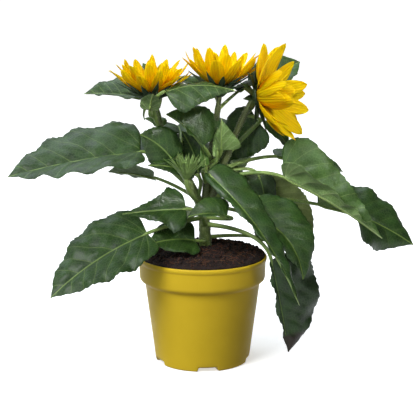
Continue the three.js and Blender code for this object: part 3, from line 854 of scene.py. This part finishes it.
# %% Closed sheets
UPPER, UNDER, STALK = 0, 1, 2


def closed_sheet(upper, under):
    """Joins two grids round their margin. Returns points, faces and the side of each face."""
    rows, columns = upper.shape[:2]
    count = rows * columns
    faces = grid_faces(rows, columns)
    edge = np.concatenate((
        np.arange(columns), np.arange(1, rows) * columns + columns - 1,
        (rows - 1) * columns + np.arange(columns - 2, -1, -1),
        np.arange(rows - 2, 0, -1) * columns))
    after = np.roll(edge, -1)
    strip = np.stack((after, edge, edge + count, after + count), -1)
    sides = np.repeat((UPPER, UNDER), (len(faces), len(faces) + len(strip)))
    points = np.concatenate((upper, under)).reshape(-1, 3)
    return points, np.concatenate((faces, faces[:, ::-1] + count, strip)), sides


def twice(*values):
    """Marks for both sides of a closed sheet."""
    marks = np.stack(np.broadcast_arrays(*values), -1)
    return np.concatenate((marks, marks))


print("sides are numbered", UPPER, UNDER, STALK)

# %% [markdown]
# The stalk is a limb that thickens at its foot. It runs on under the blade as the midrib, sinks
# into it and thins towards the tip.

# %% Stalk and midrib
def stalk_radius(thick):
    even = taper(LEAF.stalk_radius, LEAF.stalk_end + 0.2)
    return lambda t: thick * (even(t) + 1.0 * np.exp(-t / 0.06))


def midrib(points, normal, side, blade, thick):
    """A thin limb along the middle of the blade's under face."""
    t = np.linspace(0, 0.97, 40)
    centre, way, _, _ = frames_along(blade, t, side)
    rows, columns = points.shape[:2]
    nearest = np.round(t * (rows - 1)).astype(int)
    middle, facing = points[nearest, columns // 2], normal[nearest, columns // 2]
    size = thick * LEAF.stalk_end * (1 - 0.8 * t)
    settle = np.clip(t / 0.05, 0, 1)[:, None]
    core = centre * (1 - settle) + middle * settle
    core = core - facing * (size * np.clip(t / 0.08, 0, 1))[:, None]
    turn = np.linspace(0, 2 * math.pi, 10, endpoint=False)[:, None]
    ring = unit(np.cross(facing, way))[:, None] * np.cos(turn) - facing[:, None] * np.sin(turn)
    return core[:, None] + ring * size[:, None, None], grid_faces(len(t), len(turn), ring=True)


print("a stalk starts", stalk_radius(1)(np.zeros(1))[0], "mm in radius")

# %% [markdown]
# A whole leaf is its closed blade, with the side veins standing out below, its stalk and its
# midrib. The list of leaf limbs is kept for the bristles.

# %% Whole leaves
SKIN = 0.5  # blade thickness at its middle
leaf_limbs = []


def build_leaf(row, index):
    flat = lay_flat(row, index)
    side, stalk, blade = leaf_curves(row)
    points = fold_blade(row, flat, blade_lift(flat, index), side, blade)
    normal = sheet_normals(points)
    half_skin = SKIN * (1 - 0.75 * flat.beside ** 6)[..., None] / 2
    rib = 0.35 * np.exp(-(from_vein(flat) / 0.9) ** 2)
    rib = (rib * (1 - flat.beside ** 3) * np.clip(flat.reach / 2, 0, 1))[..., None]
    sheet = closed_sheet(points + normal * half_skin, points - normal * (half_skin + rib))
    thick = 0.85 + 0.3 * np.clip(math.hypot(*row.blade) / 90, 0, 1)
    heap = Heap()
    heap.add(*sheet, leaf_place=twice(flat.along, np.sign(flat.y) * flat.reach, flat.beside),
             vein_place=twice(flat.phase, flat.per_count, flat.reach))
    heap.add(*limb(stalk, stalk_radius(thick), side, 12, 24), STALK)
    heap.add(*midrib(points, normal, side, blade, thick), STALK)
    leaf_limbs.append((side, stalk, thick))
    return heap


print("a blade is", SKIN, "mm thick in the middle")

# %% [markdown]
# ### What a leaf is made of
# The upper face is waxy, dark green, with a fine rough net of veins that breaks the light up. The
# three orders of veins are yellow-green: the midrib, the side veins counted by `phase`, and a net
# three millimetres wide that shows in the relief. The under face is paler, greyer and duller.

# %% Vein lines
SMOOTH = dict(interpolation_type="SMOOTHSTEP")


def vein_lines(tree, vein_share, halo_share):
    """How much vein colour each place takes: on the veins, and in the paler strip beside them."""
    veins = node(tree, "Attribute", attribute_name="vein_place").outputs["Vector"]
    phase, per_count, reach = node(tree, "SeparateXYZ", [veins]).outputs
    whole = node(tree, "Math", [phase], operation="ROUND")
    apart = node(tree, "Math", [phase, whole], operation="SUBTRACT")
    apart = node(tree, "Math", [apart], operation="ABSOLUTE")
    apart = node(tree, "Math", [apart, per_count], operation="MULTIPLY")
    wide = node(tree, "MapRange", [reach, 0.0, 40.0, 0.6, 0.25])
    side = node(tree, "Math", [apart, wide], operation="DIVIDE")
    side = node(tree, "MapRange", [side, 0.3, 1.2, vein_share, 0.0], **SMOOTH)
    middle = node(tree, "MapRange", [reach, 0.35, 1.0, 0.75, 0.0], **SMOOTH)
    lines = node(tree, "Math", [side, middle], operation="MAXIMUM")
    return lines, node(tree, "MapRange", [apart, 0.0, 5.0, halo_share, 0.0])


print("side veins are 0.6 mm wide at the midrib and thin towards the margin")

# %% [markdown]
# The colour starts as a mottle of two greens. Vein colour is laid over it three times: faintly
# beside the veins, more faintly on the net, and fully on the lines. On a dying leaf the tip is
# brown past a ragged edge.

# %% Leaf colour
def leaf_tint(tree, place, mottle, net_line, colours, shares, dead_from):
    """Returns the colour of a leaf's face, and the lines of its veins."""
    deep, fresh, vein = colours
    lines, halo = vein_lines(tree, *shares)
    share = node(tree, "MapRange", [mottle, 0.3, 0.7])
    tint = node(tree, "Mix", {0: share, MIX_A: deep, MIX_B: fresh}, data_type="RGBA")
    net_share = node(tree, "Math", [net_line, 0.12], operation="MULTIPLY")
    for share in (halo, net_share, lines):
        tint = node(tree, "Mix", {0: share, MIX_A: tint, MIX_B: vein}, data_type="RGBA")
    if dead_from:
        along = node(tree, "SeparateXYZ", [place]).outputs["X"]
        ragged = node(tree, "Math", [mottle, 14.0, along], operation="MULTIPLY_ADD")
        dead = node(tree, "MapRange", [ragged, dead_from + 5.0, dead_from + 9.0, 0.0, 0.92])
        tint = node(tree, "Mix", {0: dead, MIX_A: tint, MIX_B: "#1C1008"}, data_type="RGBA")
    return tint, lines


print("vein colour is laid over the greens three times")

# %% [markdown]
# The same net, lines and a coarser cockling make the relief. The wax on top follows only the
# cockling, so its shine is broken in patches and not along every small vein. A leaf's IOR is taken
# as 1.45.

# %% Leaf finish
def leaf_finish(name, colours, shares, rough, net_deep, cockle_deep, dead_from):
    material, tree, surface = new_material(name)
    place = node(tree, "Attribute", attribute_name="leaf_place").outputs["Vector"]
    net = node(tree, "TexVoronoi", {"Vector": place, "Scale": 0.32, "Randomness": 0.9},
               voronoi_dimensions="2D", feature="DISTANCE_TO_EDGE").outputs["Distance"]
    net_line = node(tree, "MapRange", [net, 0.0, 0.12, 1.0, 0.0])
    grit = {"Vector": place, "Roughness": 0.6}
    mottle = node(tree, "TexNoise", {**grit, "Scale": 0.07, "Detail": 5.0})
    cockle = node(tree, "TexNoise", {**grit, "Scale": 0.22, "Detail": 3.0, "Distortion": 0.6})
    tint, lines = leaf_tint(tree, place, mottle, net_line, colours, shares, dead_from)
    gloss = node(tree, "MapRange", [mottle, 0.3, 0.7, rough - 0.06, rough + 0.08])
    relief = node(tree, "Math", [net_line, -net_deep], operation="MULTIPLY")
    relief = node(tree, "Math", [lines, -0.8, relief], operation="MULTIPLY_ADD")
    relief = node(tree, "Math", [cockle, cockle_deep, relief], operation="MULTIPLY_ADD")
    bump = node(tree, "Bump", {"Height": relief, "Strength": 0.8, "Distance": 0.6 * MM})
    wax = {"Height": cockle, "Strength": 0.6, "Distance": 0.6 * MM * cockle_deep}
    plug(tree, surface, {
        "Base Color": tint, "Roughness": gloss, "Normal": bump, "IOR": 1.45,
        "Coat Normal": node(tree, "Bump", wax), "Specular IOR Level": 0.22,
    })
    return material, surface


print("a leaf finish has a net", round(1 / 0.32), "mm wide")

# %% [markdown]
# A plant's leaves differ: grown ones are dark, young ones light. Leaves that hang in shadow get
# nearly black-green copies of the greens, which is painted shade. A tone gives the upper face's
# three colours, the under face's, and how clearly the veins show.

# %% Leaf tones
DOWNY = ("#5A7641", "#728F52", "#AEBB85")
# Painted shade: darker copies of both faces' greens, for leaves that hang in shadow.
PAINTED_SHADE = (("#0F2208", "#213C14", "#5C7438"), ("#4A6234", "#5E7A44", "#93A26C"), 0.08)
PALE = ("#6E8A5E", "#86A078", "#BCC8A4")
LEAF_TONES = {
    "grown": (("#142A0A", "#2E5019", "#7C9648"), DOWNY, 0.1),
    "glossy": (("#12280A", "#2A4C18", "#7A9448"), DOWNY, 0.1),
    "veined": (("#162D0C", "#30501C", "#869E56"), DOWNY, 0.3),
    # The shaded and dying tones take the painted shade greens; the dying one adds a real dried tip.
    "painted_shade": PAINTED_SHADE,
    "dying": PAINTED_SHADE,
    "fresh": (("#2E4A1A", "#4A6C2C", "#93AA62"), ("#5A7641", "#7A9856", "#B6C48E"), 0.26),
    "young": (("#3C5E24", "#557B34", "#93A864"), ("#5A7A3A", "#73914E", "#A9B880"), 0.2),
    "pale": (PALE, PALE, 0.3),
    "olive": (("#34441E", "#47582C", "#7F9050"), ("#74854A", "#8C9C5C", "#B8BE84"), 0.2),
}
DEAD_FROM = {"dying": 80}  # millimetres along the blade, past which its tip has dried brown
WAX = {"glossy": (0.5, 0.32)}  # weight and roughness of the wax coat
leaf_faces_of = {}
for tone, (above, below, vein_share) in LEAF_TONES.items():
    dead_from = DEAD_FROM.get(tone)
    upper, surface = leaf_finish("leaf_upper_waxy_" + tone, above, (vein_share, 0.04), 0.45, 0.3,
                                 0.8, dead_from)
    wax_weight, wax_rough = WAX.get(tone, (0.3, 0.36))
    plug(upper.node_tree, surface, {"Coat Weight": wax_weight, "Coat Roughness": wax_rough})
    under, surface = leaf_finish("leaf_under_downy_" + tone, below, (0.3, 0.1), 0.58, -0.5,
                                 1.5, dead_from)
    plug(under.node_tree, surface, {"Sheen Weight": 0.1})
    leaf_faces_of[tone] = (upper, under)
print("leaf tones:", ", ".join(leaf_faces_of))

# %% [markdown]
# Stalks and stems are a translucent green skin, ribbed lengthwise, with a satin gloss. The ribs
# are half a millimetre to a millimetre wide, and drawn a little coarse to show. The main and left
# stems are a lighter green, the other two are olive.

# %% Stalk and stem finishes
def green_skin(name, deep, fresh, rough):
    material, tree, surface = new_material(name)
    spot = node(tree, "TexCoord").outputs["Object"]
    stretch = node(tree, "Mapping", {"Vector": spot, "Scale": (1.0, 1.0, 0.12)})
    streak = node(tree, "TexNoise", {"Vector": stretch, "Scale": 900.0, "Detail": 3.0})
    cloud = node(tree, "TexNoise", {"Vector": spot, "Scale": 60.0, "Detail": 3.0})
    blend = node(tree, "Math", [streak, 0.5, cloud], operation="MULTIPLY_ADD")
    blend = node(tree, "MapRange", [blend, 0.5, 1.0])
    tint = node(tree, "Mix", {0: blend, MIX_A: deep, MIX_B: fresh}, data_type="RGBA")
    bump = node(tree, "Bump", {"Height": streak, "Strength": 0.5, "Distance": 0.3 * MM})
    plug(tree, surface, {"Base Color": tint, "Normal": bump, "Roughness": rough, "IOR": 1.45})
    return material


stalk_skin = green_skin("leaf_stalk_ribbed", "#5F7A38", "#8FA657", 0.5)
bark_green = green_skin("stem_bark_green", "#55682C", "#8C9C5E", 0.55)
bark_olive = green_skin("stem_bark_olive", "#3C4222", "#5F6A3A", 0.55)
print("stalks and stems have", len((stalk_skin, bark_green, bark_olive)), "greens")

# %% [markdown]
# Now the plan is grown. Leaves that aren't listed here are of the grown tone.

# %% Grow the leaves
TONES = {
    "young": "young_middle small_left", "olive": "right_back", "pale": "under_left",
    "veined": "far_left low_left left_top top_front", "fresh": "right_up",
    # dark_hanging and lowest_right get the painted shade greens for the shadow they hang in.
    "painted_shade": "dark_hanging", "dying": "lowest_right",
    "glossy": "glossy_left front_right twist_left",
}
TONE_OF = {name: tone for tone, names in TONES.items() for name in names.split()}
leaf_faces = 0
for index, row in enumerate(LEAVES):
    finishes = [*leaf_faces_of[TONE_OF.get(row.name, "grown")], stalk_skin]
    piece = make_piece(row.name + "_blade", build_leaf(row, index), finishes,
                       [row.name + "_leaf"])
    leaf_faces += len(piece.data.polygons)
print(len(LEAVES), "leaves with", leaf_faces, "faces")

# %% [markdown]
# ### Young shoots
# Between the stems the plant is packed with shoots that haven't grown out: small leaves, paler and
# softer, on short stalks. They follow the same rule as the large ones and are joined in two meshes.

# %% Young shoots
FIRST_SHOOT = 40  # their numbers come after those of the leaves
SHOOTS = [
    leaf("under_bud", "left", 0.14, 262, (12, 26), 203, (50, 12), 3, (7, 9), (-70, 60)),
    leaf("inner_left", "middle", 0.16, 122, (15, 13), 161, (18, 42), 3, (15, 15), (-80, 80)),
    leaf("inner_middle", "middle", 0.3, 66, (15, 3), 18, (19, 28), 2, (13, 13), (80, -80)),
    leaf("inner_right", "right", 0.12, 60, (18, 25), 8, (29, -36), 3, (17, 17), (80, -80)),
]
YOUNG_SHOOTS = [
    leaf("crumpled", "middle", 0.26, 262, (12, 14), 210, (6, 22), 1, (7, 7), (-70, 70)),
    leaf("upright", "middle", 0.36, 300, (16, 12), 280, (3, 30), 1, (5, 5), (30, -10)),
    leaf("hooked", "left", 0.95, 205, (7, 5), 185, (2, -16), 2, (2.2, 2.2), (20, -20)),
]
for name, rows, tone in [("inner_leaves", SHOOTS, "grown"),
                         ("young_shoots", YOUNG_SHOOTS, "young")]:
    heap = Heap()
    for index, row in enumerate(rows, FIRST_SHOOT):
        heap.join(build_leaf(row, index))
    make_piece(name, heap, [*leaf_faces_of[tone], stalk_skin])
    print(name, "has", len(rows), "leaves")

# %% [markdown]
# The four stems are limbs with twelve fine ribs.

# %% Grow the stems
stem_limbs = []
for name, row in STEMS.items():
    heap, radius_at = Heap(), stem_radius(name)
    heap.add(*limb(row["path"], radius_at, SIDEWAYS, 36, 90, ribs=12, rib_deep=0.12))
    bark = bark_green if name in ("main", "left") else bark_olive
    make_piece(name + "_stem_skin", heap, [bark], [name + "_stem"])
    stem_limbs.append((row["path"], radius_at))
print("stems:", ", ".join(STEMS))

# %% [markdown]
# ## Blooms
# A sunflower head sits on a green cup of pointed bracts. Round its rim stand the ray petals, and
# the disc inside is a spiral of small tubes. Each bloom is built upright in its own little frame
# and then turned to face the way its stem carries it. `open` is how far its petals lean out from
# the axis, in degrees, and `shut` how much of that the front ones of a half-closed bloom lose.

# %% Bloom frames
BLOOMS = [
    Sizes(name="left_bloom", stem="left", bearing=90, facing=87, open=54, petals=24, length=39,
          shut=0, wide=12),
    Sizes(name="middle_bloom", stem="middle", bearing=50, facing=86, open=52, petals=22, length=42,
          shut=0, wide=12.5),
    Sizes(name="right_bloom", stem="right", bearing=326, facing=10, open=68, petals=22, length=46,
          shut=44, wide=17),
]
FLOWER = Sizes(ring=12.5, cup_depth=10)


def frame_at(origin, axis):
    side = unit(np.array((-axis[1], axis[0], 0.0)))
    return np.array(origin), np.stack((np.cross(side, axis), side, axis))


def placed(points, place):
    origin, basis = place
    return origin + points @ basis


def bloom_place(row):
    facing = math.radians(row.facing)
    axis = compass(row.bearing) * math.cos(facing) + UP * math.sin(facing)
    return frame_at(stem_point(row.stem, 1.0), axis)


print("blooms stand at", [bloom_place(row)[0].round().tolist() for row in BLOOMS])

# %% [markdown]
# One rule makes petals and bracts alike: a thin pointed blade that leaves a ring at an angle from
# the flower's axis and curls back towards it. Petals are cupped, pleated along their length and
# each a little different.

# %% One petal or bract
def spoke(foot, turn, long, wide, thick, lean, curl, claw, peak=0.9, full=1.0, flick=0.0,
          twist=0.0, cup=0.0, pleats=0, pleat_deep=0.0, steps=(16, 4)):
    """A closed thin blade on a ring. Returns its sheet and its marks: share along, mm across."""
    t = np.linspace(0, 1, steps[0] + 1)[:, None]
    y = np.linspace(-1, 1, 2 * steps[1] + 1)[None]
    half = wide / 2 * np.maximum(0.05, np.sin(math.pi * (claw + (1 - claw) * t) ** peak) ** full)
    angle = np.radians(lean - curl * t + flick * t ** 3)
    roll = np.radians(twist) * t
    beside = y * half
    lift = cup * half * (y ** 2 - 0.3)
    lift = lift + pleat_deep * np.cos(pleats * math.pi * y) * np.sin(math.pi * np.maximum(t, 0.02))
    flat = beside * np.cos(roll) - lift * np.sin(roll)
    rise = beside * np.sin(roll) + lift * np.cos(roll)
    out = foot[0] + t * long * np.sin(angle) - rise * np.cos(angle)
    up = foot[1] + t * long * np.cos(angle) + rise * np.sin(angle)
    c, s = math.cos(turn), math.sin(turn)
    points = np.stack((out * c - flat * s, out * s + flat * c, up), -1)
    half_skin = sheet_normals(points) * (thick * (1 - 0.6 * np.abs(y) ** 4))[..., None] / 2
    return closed_sheet(points + half_skin, points - half_skin), twice(t, beside, 0.0)


sheet, marks = spoke((12, 10), 0, 39, 12, 0.35, 54, 9, 0.06)
print("one petal has", len(sheet[0]), "points")

# %% [markdown]
# The petals stand in two layers, and golden-share numbers make each one a little different in
# length, width, lean, cup and twist. An open bloom has a third more petals than its solid, small
# ones between the others. In a half-closed bloom the petals stray sideways, and those on the near
# side close over the disc.

# %% Ray petals
PETAL = Sizes(spread=16, skin=0.35, curl=9, claw=0.06, layer_turn=7, uneven=0.17, inset=1.6)


def petal_sheet(row, i, seed):
    """The i-th petal of a bloom. Past the full ring come the small extra ones."""
    count, odd, extra = row.petals, i % 2, i >= row.petals
    station = (i - count) * 3 + 0.5 if extra else i
    stray = 0.7 * (jitter(i * 17 + seed) - 0.5) if row.shut else 0
    turn = (station + stray) / count * 2 * math.pi
    long = row.length * (1 - PETAL.uneven * jitter(i))
    wide = row.wide * (0.85 + 0.35 * jitter(i * 3 + seed))
    spread = PETAL.spread * (1.7 if row.shut else 1)
    lean = row.open + (1 if odd else -1) * PETAL.layer_turn
    lean = lean + spread * (jitter(i * 13 + 7 + seed) - 0.5)
    lean = lean - row.shut * max(0, -math.sin(turn)) ** 4
    height = FLOWER.cup_depth + (0.9 if odd else 2.2)
    if extra:
        long, wide = long * (0.8 + 0.1 * jitter(i + 5)), wide * 0.85
        lean, height = lean - 9, height + 0.8
    return spoke(
        (FLOWER.ring - PETAL.inset, height), turn, long, wide, PETAL.skin, lean, PETAL.curl,
        PETAL.claw, peak=0.95, full=0.55, flick=14 * (jitter(i * 11 + seed) - 0.5),
        twist=30 * (jitter(i * 7 + seed) - 0.5), cup=0.1 + 0.3 * jitter(i * 5 + seed),
        pleats=5, pleat_deep=0.5)


def petal_heap(row, seed):
    heap, place = Heap(), bloom_place(row)
    extras = 0 if row.shut else row.petals // 3
    for i in range(row.petals + extras):
        (points, faces, _), marks = petal_sheet(row, i, seed)
        heap.add(placed(points, place), faces, petal_place=marks)
    return heap


print("the blooms have", sum(row.petals for row in BLOOMS), "petals, and small ones between")

# %% [markdown]
# Petals are thin tissue full of golden pigment: saturated yellow, deeper towards the claw, with
# grooves along them and a soft satin sheen. The grooves are darkened in stripes with painted shade.
# Light passes into them and scatters, so they glow.

# %% Ray petal finish
GROOVE_APART = 2.6
petal_tissue, tree, surface = new_material("ray_petal_tissue")
place = node(tree, "Attribute", attribute_name="petal_place").outputs["Vector"]
along, across, _ = node(tree, "SeparateXYZ", [place]).outputs
groove = node(tree, "Math", [across, 2 * math.pi / GROOVE_APART], operation="MULTIPLY")
groove = node(tree, "Math", [groove], operation="SINE")
spot = node(tree, "TexCoord").outputs["Object"]
cloud = node(tree, "TexNoise", {"Vector": spot, "Scale": 120.0, "Detail": 3.0})
claw = node(tree, "MapRange", [along, 0.0, 0.3, 0.8, 0.0], **SMOOTH)
# Painted shade: the grooves darken the colour in stripes towards a deeper gold.
painted_groove_shade = node(tree, "MapRange", [groove, -1.0, 1.0, 0.0, 0.42])
tint = node(tree, "Mix", {0: cloud, MIX_A: "#FFBC00", MIX_B: "#FFCC02"}, data_type="RGBA")
tint = node(tree, "Mix", {0: claw, MIX_A: tint, MIX_B: "#EE9E00"}, data_type="RGBA")
tint = node(tree, "Mix", {0: painted_groove_shade, MIX_A: tint, MIX_B: "#E29C00"}, data_type="RGBA")
bump = node(tree, "Bump", {"Height": groove, "Strength": 0.6, "Distance": 0.3 * MM})
plug(tree, surface, {
    "Base Color": tint, "Normal": bump, "Roughness": 0.6, "IOR": 1.4, "Specular IOR Level": 0.1,
    "Subsurface Weight": 0.65, "Subsurface Radius": (1.0, 0.8, 0.05), "Subsurface Scale": 3 * MM,
})
for seed, row in enumerate(BLOOMS):
    piece = make_piece(row.name + "_petals", petal_heap(row, seed), [petal_tissue],
                       [row.name + "_rays"])
    print(row.name, "has", len(piece.data.polygons), "petal faces")

# %% [markdown]
# ### The disc
# The tubes of the disc stand on a low dome in the golden spiral: each one turns 137.5 degrees on
# from the last. Inner tubes are short, closed and dark. Outer ones are taller, lean out and are
# tipped with pollen.

# %% Disc florets
GOLDEN_TURN = math.pi * (3 - math.sqrt(5))
DISC = Sizes(florets=230, radius=10.2, foot=FLOWER.cup_depth + 0.3, wide=0.62, mouth=0.34, sides=5)
DOME = [(0.01, -1), (10, -1), (10.2, 1.5), (8, 3.6), (4, 4.4), (0.01, 4.0)]


def floret(i):
    """The i-th tube. Returns its points and faces, and its share of the way to the rim."""
    share = (i + 0.5) / DISC.florets
    way = compass(math.degrees(i * GOLDEN_TURN))
    tall = 1.0 + 1.5 * share
    floor = DISC.foot + 4.1 - 2.9 * share ** 2
    foot = way * DISC.radius * math.sqrt(share) + UP * (floor - 0.6)
    path = [foot, foot + UP * tall * 0.6, foot + (UP + way * 0.45 * share) * (tall + 0.6)]
    return *limb(path, taper(DISC.wide, DISC.mouth), ANY_SIDE, DISC.sides, 3), share


def disc_heap(row):
    heap, place = Heap(), bloom_place(row)
    dome, faces = lathe(split_long(np.array(DOME) + (0, DISC.foot), 1.5), 40)
    heap.add(placed(dome, place), faces)
    cap_faces = [(k, (k + 1) % DISC.sides, DISC.sides) for k in range(DISC.sides)]
    for i in range(DISC.florets):
        points, faces, share = floret(i)
        heap.add(placed(points, place), faces, int(share >= 0.55 and i % 3 == 0))
        cap = np.concatenate((points[-1], [points[-1].mean(0) + UP * 0.5]))
        heap.add(placed(cap, place), cap_faces, int(share > 0.5))
    return heap


print("each disc has", DISC.florets, "florets")

# %% [markdown]
# Disc tissue is dark brown, near black where the tubes are packed, and the anther tips are dusted
# with dull golden pollen. Both are plain tints with a fine speckle, rough all over.

# %% Disc finishes
disc_finishes = [speckled("disc_tube_brown", "#23120A", "#4A2A10", 1500.0, 2.0, 0.8),
                 speckled("disc_pollen_gold", "#7A4E0C", "#C48A18", 1500.0, 2.0, 0.8)]
for row in BLOOMS:
    piece = make_piece(row.name + "_florets", disc_heap(row), disc_finishes,
                       [row.name + "_disc"])
    print(row.name, "has", len(piece.data.polygons), "disc faces")

# %% [markdown]
# ### The cups
# Under the petals sits a shallow green cup with two rows of pointed bracts. The cup is a lathe
# profile, and the bracts come from the same rule as the petals, stiffer and flatter. The outer row
# is the solid's own, the longer inner row stands between its bracts.

# %% Calyx cups
BRACT = Sizes(count=12, width=6, skin=0.45, length=20, outside=13, uneven=8, claw=0.12)


def add_cup(heap, place, radius, deep):
    corners = [(0.01, -2), (3.4, -2), (radius * 0.6, deep * 0.2), (radius * 0.95, deep * 0.6),
               (radius, deep), (0.01, deep)]
    points, faces = lathe(split_long(rounded(corners, 1.6), 1.2), 48)
    heap.add(placed(points, place), faces)


def add_bracts(heap, place, foot, long, wide, lean, curl, count, uneven, spin=0.0):
    """A ring of bracts. `spin` turns it by a share of the gap between two of them."""
    for i in range(count):
        (points, faces, _), marks = spoke(
            foot, (i + spin) / count * 2 * math.pi, long * (0.8 + 0.3 * jitter(i)), wide,
            BRACT.skin, lean + uneven * jitter(i + 3), curl, BRACT.claw, peak=0.7,
            flick=10 * (jitter(i * 3) - 0.5), cup=0.3, pleats=2, pleat_deep=0.1, steps=(12, 3))
        heap.add(placed(points, place), faces, petal_place=marks)


def calyx_heap(row):
    heap, place = Heap(), bloom_place(row)
    add_cup(heap, place, FLOWER.ring, FLOWER.cup_depth)
    ring = dict(wide=BRACT.width, count=BRACT.count, uneven=BRACT.uneven)
    add_bracts(heap, place, foot=(FLOWER.ring * 0.8, FLOWER.cup_depth * 0.5), long=BRACT.length,
               lean=row.open + BRACT.outside, curl=0, **ring)
    add_bracts(heap, place, foot=(FLOWER.ring * 0.93, FLOWER.cup_depth * 0.78),
               long=BRACT.length * 1.3, lean=row.open + 3, curl=2, spin=0.5, **ring)
    return heap


print("each cup has two rows of", BRACT.count, "bracts")

# %% [markdown]
# A bract is leafy and dull, with a few ribs along it. Those of the open blooms are dark green.

# %% Bract finish
BRACT_RIB_APART = 1.6


def bract_finish(name, deep, fresh):
    material, tree, surface = new_material(name)
    place = node(tree, "Attribute", attribute_name="petal_place").outputs["Vector"]
    across = node(tree, "SeparateXYZ", [place]).outputs["Y"]
    rib = node(tree, "Math", [across, 2 * math.pi / BRACT_RIB_APART], operation="MULTIPLY")
    rib = node(tree, "Math", [rib], operation="COSINE")
    spot = node(tree, "TexCoord").outputs["Object"]
    cloud = node(tree, "TexNoise", {"Vector": spot, "Scale": 260.0, "Detail": 4.0})
    tint = node(tree, "Mix", {0: cloud, MIX_A: deep, MIX_B: fresh}, data_type="RGBA")
    bump = node(tree, "Bump", {"Height": rib, "Strength": 0.35, "Distance": 0.3 * MM})
    plug(tree, surface, {"Base Color": tint, "Normal": bump, "Roughness": 0.6})
    return material


bract_skin = bract_finish("bract_hairy_green", "#14260C", "#2A4217")
for row in BLOOMS:
    piece = make_piece(row.name + "_bracts", calyx_heap(row), [bract_skin],
                       [row.name + "_calyx"])
    print(row.name, "has", len(piece.data.polygons), "bract faces")

# %% [markdown]
# ## The bud
# One head is still shut: a cup on its own short stalk with long narrow bracts that close over it
# like a crown of spikes, paler than those of the open blooms.

# %% Bud
BUD = Sizes(stem="left", at=0.1, bearing=244, out=27, up=29, stalk_radius=2.6, radius=9.5, depth=9,
            uneven=26)
BUD_RINGS = [
    dict(foot=(7.6, 4.5), long=20, wide=3.8, lean=8, curl=-12, count=13, spin=0.0),
    dict(foot=(8.2, 5.0), long=19, wide=3.4, lean=22, curl=-14, count=13, spin=0.5),
    dict(foot=(5.0, 6.0), long=18, wide=3.8, lean=6, curl=2, count=9, spin=0.25),
]
bud_foot = stem_point(BUD.stem, BUD.at)
bud_base = bud_foot + compass(BUD.bearing) * BUD.out + UP * BUD.up
bud_lead = UP * LEAF.stalk_lead * np.linalg.norm(bud_base - bud_foot)
bud_path = [bud_foot, bud_base - bud_lead, bud_base]
bud_place = (bud_base, np.eye(3))
bud_radius = taper(BUD.stalk_radius, BUD.stalk_radius)
bud_heap = Heap()
add_cup(bud_heap, bud_place, BUD.radius, BUD.depth)
for ring in BUD_RINGS:
    add_bracts(bud_heap, bud_place, uneven=BUD.uneven, **ring)
bud_heap.add(*limb(bud_path, bud_radius, SIDEWAYS, 16, 20), 1)
bud_green = bract_finish("bract_young_green", "#34541E", "#90AC5C")
make_piece("bud_head", bud_heap, [bud_green, stalk_skin], ["bud"])
print("the bud has", sum(ring["count"] for ring in BUD_RINGS), "bracts")

# %% [markdown]
# ## Bristles
# Pale stiff hairs cover the stems and leaf stalks. Each is a three-sided needle, one to two
# millimetres long, and all of them are joined into one mesh. They are drawn thicker than life, a
# seventh of a millimetre, so that they show.

# %% One patch of bristles
HAIR = Sizes(thick=0.14, long=1.7, sunk=0.2, splay=0.35)
HAIR_FACES = np.array(((0, 1, 3), (1, 2, 3), (2, 0, 3)))
hair_heap = Heap()


def add_bristles(path, radius_at, side, count):
    """Needles at random places on a limb, in order along it."""
    t = np.sort(chance.random(count))
    centre, way, across, out = frames_along(path, t, side)
    turn = chance.random(count)[:, None] * 2 * math.pi
    outward = across * np.cos(turn) + out * np.sin(turn)
    sideways = -across * np.sin(turn) + out * np.cos(turn)
    root = centre + outward * (radius_at(t) - HAIR.sunk)[:, None]
    long = HAIR.long * (0.6 + 0.7 * chance.random(count))[:, None]
    tip = root + (outward + HAIR.splay * way * chance.normal(0, 1, count)[:, None]) * long
    wide = HAIR.thick / 2
    half, high = sideways * wide * 0.5, way * wide * 0.87  # the corners of an even triangle
    needle = np.stack((root + sideways * wide, root - half + high, root - half - high, tip), 1)
    first = np.arange(count)[:, None, None] * 4
    hair_heap.add(needle, (first + HAIR_FACES).reshape(-1, 3))


print("a bristle is", HAIR.thick, "mm thick")

# %% [markdown]
# Stems carry three to four times as many bristles to the millimetre as leaf stalks. The stems come
# first, then the leaf stalks in the order in which they were grown, then the bud's own stalk.

# %% Grow the bristles
PER_MM = Sizes(stem=7.7, stalk=2.2)
BUD_HAIRS = 160
for path, radius_at in stem_limbs:
    steps = np.diff(along_curve(path, np.linspace(0, 1, 20)), axis=0)
    length = np.linalg.norm(steps, axis=1).sum()
    add_bristles(path, radius_at, SIDEWAYS, int(length * PER_MM.stem))
for side, stalk, thick in leaf_limbs:
    length = np.linalg.norm(stalk[2] - stalk[0])
    radius_at = taper(thick * LEAF.stalk_radius, thick * (LEAF.stalk_radius - 0.5))
    add_bristles(stalk, radius_at, side, int(length * PER_MM.stalk))
add_bristles(bud_path, bud_radius, SIDEWAYS, BUD_HAIRS)
hair_pale = speckled("bristle_pale", "#A9B488", "#D2D8B6", 500.0, 2.0, 0.5)
bristles = make_piece("bristles", hair_heap, [hair_pale])
print("bristles:", len(bristles.data.polygons) // 3)
